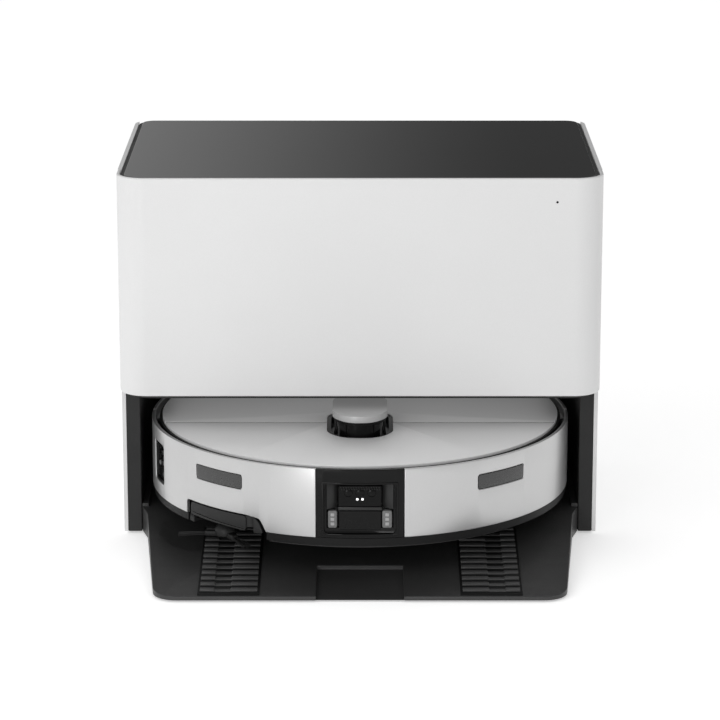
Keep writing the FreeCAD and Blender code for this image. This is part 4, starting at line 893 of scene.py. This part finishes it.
bevelled = [  # CAD node, piece, body, finish, slot, edge width: merged copies with rounded edges
    # the base tray's lighter black is painted light against the robot's shadow
    ("base_tray", "baseTray", "station", "rampPlasticLightened", "black_plastic", 0.9),
    ("lid_frame", "lidFrame", "lid", "bayPlastic", "black_plastic", 0.35),
    ("upper_housing", "upperHousing", "station", "bayPlastic", "black_plastic", 0.5),
    ("base_underplate", "baseUnderplate", "station", "blackPlastic", "black_plastic", 0.4),
    ("bay_back_wall", "bayBackWall", "station", "bayPlastic", "black_plastic", 0.5),
    ("charging_contacts", "chargingContacts", "station", "contactMetal", "contact_metal", 1.2),
    ("rear_shell", "rearShell", "robot", "silverBand", "silver_band", 0.5),
    # the skirt's darker black is painted shade
    ("bumper_skirt", "bumperSkirt", "bumper", "skirtPlasticShaded", "black_plastic", 0.5),
    ("upper_deck", "upperDeck", "robot", "deckBlackAndShade", "black_plastic", 0.3),
    ("robot_chassis", "robotChassis", "robot", "blackPlastic", "black_plastic", 0.4),
    ("robot_charge_pads", "robotChargePads", "robot", "contactMetal", "contact_metal", 0.5),
    ("dust_bin", "dustBin", "robot", "greyPlastic", "grey_plastic", 0.8),
    ("battery", "batteryPack", "robot", "bayPlastic", "black_plastic", 1.2),
    ("mop_gearbox", "mopGearbox", "mop_carriage", "greyPlastic", "grey_plastic", 1.2),
    ("right_wheel_arm", "rightWheelArm", "right_arm", "greyPlastic", "grey_plastic", 1.0),
    ("left_wheel_arm", "leftWheelArm", "left_arm", "greyPlastic", "grey_plastic", 1.0),
    ("caster_fork", "casterFork", "caster_fork", "greyPlastic", "grey_plastic", 0.5),
]


def makeBevelled():
    for node, name, body, finish, slot, edge in bevelled:
        obj = cadCopy(node, name)
        finishPiece(obj, body, finish, [node], soft=30, edge=edge, rings=2)


def cadCopy(node, name):  # a merged copy of a CAD mesh, with its flat faces made whole
    bm = cadShape(node)
    bmesh.ops.dissolve_limit(bm, angle_limit=math.radians(0.3), use_dissolve_boundaries=False,
                             verts=bm.verts[:], edges=bm.edges[:])
    return meshPiece(bm, name)


mat = {"inner": 81, "outer": 131, "front": -209, "lip": 5, "slope": 6.4525, "start": 2, "pitch": 11,
       "bar": 5.5, "base": 0.8, "rise": 1.45, "bars": 12, "dipLow": 104.5, "dipHigh": 117, "dipDepth": 1.1}


def makeMats():
    parts, beds = [], []
    for side in (1, -1):
        low, high = sorted((side * mat["inner"], side * mat["outer"]))
        beds.append(softEdges(box((low, high),
                                  (mat["start"], mat["start"] + mat["pitch"] * mat["bars"] + 1.5),
                                  (-0.6, mat["base"])), 0.3, rings=2))
        dip = sorted((side * mat["dipLow"], side * mat["dipHigh"]))
        for index in range(mat["bars"]):
            front = mat["start"] + mat["pitch"] * index + mat["pitch"] - mat["bar"]
            bar = box((low + 1.8, high - 1.8), (front, front + mat["bar"] - 0.2),
                      (0.2, mat["base"] + mat["rise"]))
            for x in (dip[0] - 0.7, dip[0], dip[1], dip[1] + 0.7):
                bmesh.ops.bisect_plane(bar, geom=bar.verts[:] + bar.edges[:] + bar.faces[:], dist=1e-7,
                                       plane_co=(x * mm, 0, 0), plane_no=(1, 0, 0))
            sunk = [vert for vert in bar.verts
                    if vert.co.z > 0.001 and dip[0] - 0.1 < vert.co.x / mm < dip[1] + 0.1]
            bmesh.ops.translate(bar, verts=sunk, vec=(0, 0, -mat["dipDepth"] * mm))
            softEdges(bar, 0.5, angle=40, rings=2)
            parts.append(bar)
    whole = {"tractionBars": gather(*parts), "tractionBeds": gather(*beds)}
    for bm in whole.values():
        bmesh.ops.rotate(bm, verts=bm.verts[:], cent=(0, 0, 0),
                         matrix=Matrix.Rotation(math.radians(mat["slope"]), 3, "X"))
        bmesh.ops.translate(bm, verts=bm.verts[:], vec=(0, mat["front"] * mm, mat["lip"] * mm))
    # one rubber mat in two finishes: the bars lighter as painted light, the beds darkest as painted shade in
    # the grooves
    finishPiece(meshPiece(whole["tractionBars"], "tractionBars"), "station", "padRubberLit", ["traction_pads"])
    finishPiece(meshPiece(whole["tractionBeds"], "tractionBeds"), "station", "deckBlackAndShade")


def makeFeet():
    feet = []
    seen = cadShape("rubber_feet")
    centres = []
    for island in islands(seen):
        xs = [vert.co.x for vert in island]
        ys = [vert.co.y for vert in island]
        zs = [vert.co.z for vert in island]
        centres.append(((min(xs) + max(xs)) / 2, (min(ys) + max(ys)) / 2, min(zs), max(zs),
                        (max(xs) - min(xs)) / 2))
    seen.free()
    for x, y, bottom, top, radius in centres:
        r, b, t = radius / mm, bottom / mm, top / mm
        feet.append(lathe([(0, b + 0.5), (r - 4.2, b + 0.5), (r - 3.6, b), (r - 1.4, b), (r - 0.7, b + 0.6),
                           (r - 0.5, t), (0, t)], (x / mm, y / mm, 0), steps=48))
    finishPiece(meshPiece(gather(*feet), "rubberFeet"), "station", "rubber", ["rubber_feet"])


def islands(bm):  # the separate shells of a mesh, as lists of vertices
    left, found = set(bm.verts), []
    while left:
        stack, shell = [left.pop()], []
        while stack:
            vert = stack.pop()
            shell.append(vert)
            for edge in vert.link_edges:
                other = edge.other_vert(vert)
                if other in left:
                    left.remove(other)
                    stack.append(other)
        found.append(shell)
    return sorted(found, key=lambda shell: (min(vert.co.x for vert in shell),
                                            min(vert.co.y for vert in shell)))


board = {"half": 145, "front": 28, "back": 172, "basinX": 62, "basinY": 92, "basin": 56.5, "depth": 2,
         "rings": 5, "ringGap": 9.6, "ringStuds": 6}


def makeWashBoard():
    low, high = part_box("wash_board")
    top = high.z / mm
    plateBase = roundedPlate([(-board["half"], board["front"], 4), (board["half"], board["front"], 4),
                              (board["half"], board["back"], 4), (-board["half"], board["back"], 4)],
                             low.z / mm, top)
    bowls = [lathe([(0, top - board["depth"]), (board["basin"] - 1, top - board["depth"]),
                    (board["basin"], top + 3),
                    (0, top + 3)], (side * board["basinX"], board["basinY"], 0), steps=96) for side in (1,
                                                                                                        -1)]
    base = softEdges(trimmed(plateBase, bowls), 0.5, rings=2)
    ribs = []
    for side in (1, -1):
        for ring in range(1, board["rings"] + 1):  # scrubbing studs in rings
            count = ring * board["ringStuds"]
            for index in range(count):
                turn = math.tau * (index + ring / 2) / count
                reach = ring * board["ringGap"]
                x = side * board["basinX"] + reach * math.cos(turn)
                y = board["basinY"] + reach * math.sin(turn)
                ribs.append(lathe([(1.9, top - board["depth"] - 0.1), (1.5, top - 0.9), (0.9, top - 0.45),
                                   (0, top - 0.3)], (x, y, 0), steps=10))
    finishPiece(meshPiece(gather(base, *ribs), "washBoard"), "station", "greyPlastic", ["wash_board"])


def makeTanks():
    for node, name in (("dirty_water_tank", "dirtyWaterTank"), ("clean_water_tank", "cleanWaterTank")):
        finishPiece(cadCopy(node, name), "station", "clearTank", [node], soft=30, edge=1.2)


socket = {"left": 120, "right": 150, "low": 40, "high": 64, "front": 193, "back": 209, "deep": 11}


def makeInlet():
    left, right, low, high = socket["left"], socket["right"], socket["low"], socket["high"]
    outer = standing(oblong(left + 0.15, right - 0.15, low + 0.15, high - 0.15, 2.8), socket["front"],
                     socket["back"])
    middle = (left + right) / 2
    well = standing([(left + 4, low + 4.5, 1.5), (right - 4, low + 4.5, 1.5), (right - 4, high - 8, 1.5),
                     (right - 8.5, high - 4, 1.5), (left + 8.5, high - 4, 1.5), (left + 4, high - 8, 1.5)],
                    socket["back"] - socket["deep"], socket["back"] + 3)
    case = softEdges(trimmed(outer, [well]), 0.4, rings=2)
    finishPiece(meshPiece(case, "powerInlet"), "station", "bayPlastic", ["power_inlet"])
    blades = [softEdges(box((middle + x - 1, middle + x + 1),
                            (socket["back"] - socket["deep"] - 0.2, socket["back"] - 4.5),
                            (z, z + 5)),
                        0.4) for x, z in ((-6.5, low + 8), (0, low + 12), (6.5, low + 8))]
    finishPiece(meshPiece(gather(*blades), "inletBlades"), "station", "contactMetal")


# soft goods: the dust bag and the two mop pads

bag = {"x": (-138, -12), "y": (-47.5, 23), "z": (134, 274), "inset": 7, "voxel": 0.005, "pressure": 4.0,
       "steps": 20, "cap": 0.007, "middle": -0.012, "crease": 0.0012}


def makeDustBag():
    low = [bag[axis][0] for axis in "xyz"]
    high = [bag[axis][1] for axis in "xyz"]
    inset = bag["inset"]
    bm = box(*[(a + inset, b - inset) for a, b in zip(low, high)])
    for vert in bm.verts:  # a flat-bottomed bag is narrower at its top
        if vert.co.z > 0.2:
            vert.co.y = vert.co.y * 0.86 - 0.0016
    bmesh.ops.subdivide_edges(bm, edges=bm.edges[:], cuts=11, use_grid_fill=True)
    bmesh.ops.smooth_vert(bm, verts=bm.verts[:], factor=0.5, use_axis_x=True, use_axis_y=True,
                          use_axis_z=True)
    obj = meshPiece(bm, "dustBag")
    shape = obj.modifiers.new("remesh", "REMESH")
    shape.mode = "VOXEL"
    shape.voxel_size = bag["voxel"]
    bake(obj)
    start = [vert.co.copy() for vert in obj.data.vertices]
    cloth = obj.modifiers.new("cloth", "CLOTH")
    cloth.settings.use_pressure = True
    cloth.settings.uniform_pressure_force = bag["pressure"]
    cloth.settings.effector_weights.gravity = 0
    cloth.settings.quality = 6
    cloth.point_cache.frame_end = bag["steps"]
    for step in range(1, bag["steps"] + 1):
        bpy.context.scene.frame_set(step)
    bake(obj)
    for vert, was in zip(obj.data.vertices, start):
        shift = vert.co - was
        if shift.length > bag["cap"]:
            vert.co = was + shift * (bag["cap"] / shift.length)
    bpy.context.scene.frame_set(1)
    for vert in obj.data.vertices:  # creases of folded paper, and room kept round the bag
        p = vert.co
        crease = math.sin(p.z * 95 + math.sin(p.x * 60) * 1.2) * 0.5 + math.sin(p.x * 140 + p.z * 60) * 0.3
        side = 1 if p.y > bag["middle"] else -1
        if abs(p.y - bag["middle"]) > 0.02:
            p.y += side * crease * bag["crease"]
        p.x = min(max(p.x, low[0] * mm), high[0] * mm)
        p.y = min(max(p.y, low[1] * mm), high[1] * mm)
        p.z = min(max(p.z, low[2] * mm), high[2] * mm)
    smooth = obj.modifiers.new("smooth", "SUBSURF")
    smooth.levels = smooth.render_levels = 1
    finishPiece(obj, "station", "bagPaper", ["dust_bag"], soft=80)
    # card collar with its inlet hole, at the top of the bag
    collar = standing(oblong(-104, -46, 214, 262, 4), -49.0, -47.2)
    hole = standing([(x, z, 6) for x, z in ((-88, 226), (-62, 226), (-62, 250), (-88, 250))], -52, -44)
    card = softEdges(trimmed(collar, [hole]), 0.3, rings=2)
    finishPiece(meshPiece(card, "dustBagCollar"), "station", "greyPlastic")


def bake(obj):  # applies the live modifiers
    graph = bpy.context.evaluated_depsgraph_get()
    done = bpy.data.meshes.new_from_object(obj.evaluated_get(graph))
    obj.modifiers.clear()
    obj.data = done


mop = {"x": 62, "y": 92, "low": 24.35, "thick": 4.9, "radius": 54.6, "disc": 53, "shaft": 5, "shaftTop": 56,
       "yarn": 0.22, "loops": 32, "ribs": 12}


def makeMops():
    for side, name in ((1, "right"), (-1, "left")):
        low, radius = mop["low"], mop["radius"]
        top = low + mop["thick"]
        profile = [(0, low + 0.5), (12, low + 0.25), (22, low), (30, low + 0.3), (40, low), (48, low + 0.3),
                   (radius - 1.6, low + 0.9), (radius, low + 2.4), (radius - 0.9, top - 0.6),
                   (radius - 2.6, top), (0, top)]
        bm = lathe(profile, (side * mop["x"], mop["y"], 0), steps=128)
        for vert in bm.verts:  # loops of yarn make the rim and face uneven
            p = vert.co
            angle = math.atan2(p.y - mop["y"] * mm, p.x - side * mop["x"] * mm)
            reach = math.hypot(p.y - mop["y"] * mm, p.x - side * mop["x"] * mm)
            if reach > 0.05:
                p.z += mop["yarn"] * mm * math.sin(angle * mop["loops"]) * (1 if p.z < (top - 1) * mm else 0)
        obj = meshPiece(bm, name + "MopPad")
        smooth = obj.modifiers.new("smooth", "SUBSURF")
        smooth.levels = smooth.render_levels = 1
        finishPiece(obj, name + "_mop", "mopCloth", [name + "_mop_pad"], soft=80)
        low = top + 0.05
        disc = lathe([(0, low), (mop["disc"] - 0.6, low), (mop["disc"], low + 0.6), (mop["disc"], low + 2.2),
                      (mop["disc"] - 0.7, low + 2.9), (40, low + 2.9), (39, low + 1.7), (16, low + 1.7),
                      (14, low + 2.9), (8, low + 2.9), (7.2, low + 4.6), (mop["shaft"], low + 5.4),
                      (mop["shaft"], mop["shaftTop"]), (0, mop["shaftTop"])],
                     (side * mop["x"], mop["y"], 0), steps=96)
        ribs = [disc]
        for index in range(mop["ribs"]):
            rib = softEdges(box((14.5, 39.5), (-0.8, 0.8), (low + 1.5, low + 2.8)), 0.25, rings=2)
            bmesh.ops.rotate(rib, verts=rib.verts[:], cent=(0, 0, 0),
                             matrix=Matrix.Rotation(math.tau * index / mop["ribs"], 3, "Z"))
            bmesh.ops.translate(rib, verts=rib.verts[:], vec=(side * mop["x"] * mm, mop["y"] * mm, 0))
            ribs.append(rib)
        finishPiece(meshPiece(gather(*ribs), name + "MopDisc"), name + "_mop", "greyPlastic",
                    [name + "_mop_disc"])


# robot: drive wheels, caster and the main brush

wheel = {"across": 133, "z": 56.3, "radius": 32, "wall": 8, "width": 20, "lugs": 26}


def makeWheels():
    for side, name in ((1, "right"), (-1, "left")):
        centre = (side * wheel["across"], 0, wheel["z"])
        half, radius = wheel["width"] / 2, wheel["radius"]
        inner = radius - wheel["wall"] + 0.05
        tyre = lathe([(inner, -half), (inner + 1.2, -half), (radius - 3.4, -half),
                      (radius - 1.6, -half + 1.4),
                      (radius - 1.4, 0), (radius - 1.6, half - 1.4), (radius - 3.4, half), (inner, half),
                      (inner, -half)], centre, steps=104, axis="X")
        parts = [tyre]
        for index in range(wheel["lugs"]):
            for way in (1, -1):
                lug = softEdges(box((0.4, half - 0.8), (-1.6, 1.6), (radius - 2.6, radius - 0.05)), 0.35,
                                rings=1)
                for vert in lug.verts:
                    vert.co.y += vert.co.x * 0.45
                    vert.co.z -= max(0.0, vert.co.x / mm - 7.4) * 0.5 * mm
                if way < 0:
                    for vert in lug.verts:
                        vert.co.x = -vert.co.x
                    bmesh.ops.reverse_faces(lug, faces=lug.faces[:])
                turn = math.tau * (index + (0.25 if way < 0 else -0.25)) / wheel["lugs"]
                bmesh.ops.rotate(lug, verts=lug.verts[:], cent=(0, 0, 0),
                                 matrix=Matrix.Rotation(turn, 3, "X"))
                bmesh.ops.translate(lug, verts=lug.verts[:], vec=Vector(centre) * mm)
                parts.append(lug)
        finishPiece(meshPiece(gather(*parts), name + "Tyre"), name + "_wheel", "tyreRubber", [name + "_tyre"])
        obj = cadCopy(name + "_wheel_hub", name + "WheelHub")
        finishPiece(obj, name + "_wheel", "greyPlastic", [name + "_wheel_hub"], edge=0.5,
                    rings=2)


def makeCaster():
    low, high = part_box("caster_wheel")
    centre = (low + high) / 2 / mm
    half, radius = (high.x - low.x) / 2 / mm, (high.z - low.z) / 2 / mm
    bm = lathe([(0, -half), (3.2, -half), (3.6, -half + 0.8), (radius - 3, -half + 0.8),
                (radius - 2.4, -half + 0.2),
                (radius - 1, -half + 0.4), (radius, -half + 1.6), (radius, half - 1.6),
                (radius - 1, half - 0.4),
                (radius - 2.4, half - 0.2), (radius - 3, half - 0.8), (3.6, half - 0.8), (3.2, half),
                (0, half)],
               centre, steps=64, axis="X")
    finishPiece(meshPiece(bm, "casterWheel"), "caster_wheel", "tyreRubber", ["caster_wheel"])


roller = {"y": -60, "z": 43.8, "radius": 18.7, "core": 11.6, "half": 80, "pin": 3, "end": 91, "fins": 6,
          "twist": 70, "steps": 28}


def makeRoller():
    centre = (0, roller["y"], roller["z"])
    half, core = roller["half"], roller["core"]
    shaft = lathe([(0, -roller["end"]), (roller["pin"], -roller["end"]), (roller["pin"], -half - 0.4),
                   (core + 1.6, -half), (core + 1.6, 1.6 - half), (core, 2.4 - half), (core, half - 2.4),
                   (core + 1.6, half - 1.6), (core + 1.6, half), (roller["pin"], half + 0.4),
                   (roller["pin"], roller["end"]), (0, roller["end"])], centre, steps=64, axis="X")
    parts = []
    for index in range(roller["fins"]):
        for way in (1, -1):  # each fin runs in a chevron from the middle to both ends
            bm = bmesh.new()
            corners = [(core - 0.5, -1.3), (roller["radius"], -0.55), (roller["radius"], 0.55),
                       (core - 0.5, 1.3)]
            verts = [bm.verts.new((0, y * mm, z * mm)) for z, y in corners]
            face = bm.faces.new(verts)
            bmesh.ops.rotate(bm, verts=bm.verts[:], cent=(0, 0, 0),
                             matrix=Matrix.Rotation(math.tau * index / roller["fins"], 3, "X"))
            bmesh.ops.spin(bm, geom=[face, *face.edges, *face.verts], cent=(0, 0, 0), axis=(way, 0, 0),
                           dvec=(way * (half - 2.6) * mm / roller["steps"], 0, 0),
                           angle=math.radians(roller["twist"]),
                           steps=roller["steps"], use_duplicate=False)
            bmesh.ops.translate(bm, verts=bm.verts[:], vec=Vector(centre) * mm)
            bmesh.ops.recalc_face_normals(bm, faces=bm.faces[:])
            parts.append(bm)
    finishPiece(meshPiece(shaft, "mainBrushCore"), "main_brush", "greyPlastic", ["main_brush"])
    finishPiece(meshPiece(gather(*parts), "mainBrushFins"), "main_brush", "rubber")


makeFrontCover()
makeSidePanels()
makeLidGlass()
makeRearPanel()
makeBayWalls()
print("station shell ready")
makeBumper()
makeEyes()
makePort()
makeModule()
makeModuleGlass()
print("bumper and camera ready")
makePlates()
makeTurret()
print("top and turret ready")
makeSideArm()
makeSideBrush()
print("side brush ready")
makeBevelled()
makeMats()
makeFeet()
makeWashBoard()
makeTanks()
makeInlet()
print("base and insides ready")
makeMops()
makeDustBag()
print("soft goods ready")
makeWheels()
makeCaster()
makeRoller()
print("wheels and main brush ready")


# every CAD node that still shows gets its finish
slotFinish = {
    "white_shell": "whiteShell", "black_plastic": "blackPlastic", "gloss_black": "glossBlack",
    "top_glass": "topGlass", "silver_band": "silverBand", "silver_plate": "silverPlate",
    "smoked_window": "smokedWindow", "frosted_lens": "frostedLens", "rubber": "rubber",
    "tyre_rubber": "tyreRubber", "clear_tank": "clearTank", "steel": "steel",
    "contact_metal": "contactMetal", "grey_plastic": "greyPlastic", "bag_paper": "bagPaper",
    "mop_cloth": "mopCloth", "bristle": "bristle", "status_lens": "statusLens"}


def finishNodes():
    for part in frame["record"]["subparts"]:
        node = nodes[part["node"]]
        if node.hide_render:
            continue
        node.data.materials.clear()
        node.data.materials.append(paint[slotFinish[part["material_slot"]]])


finishNodes()
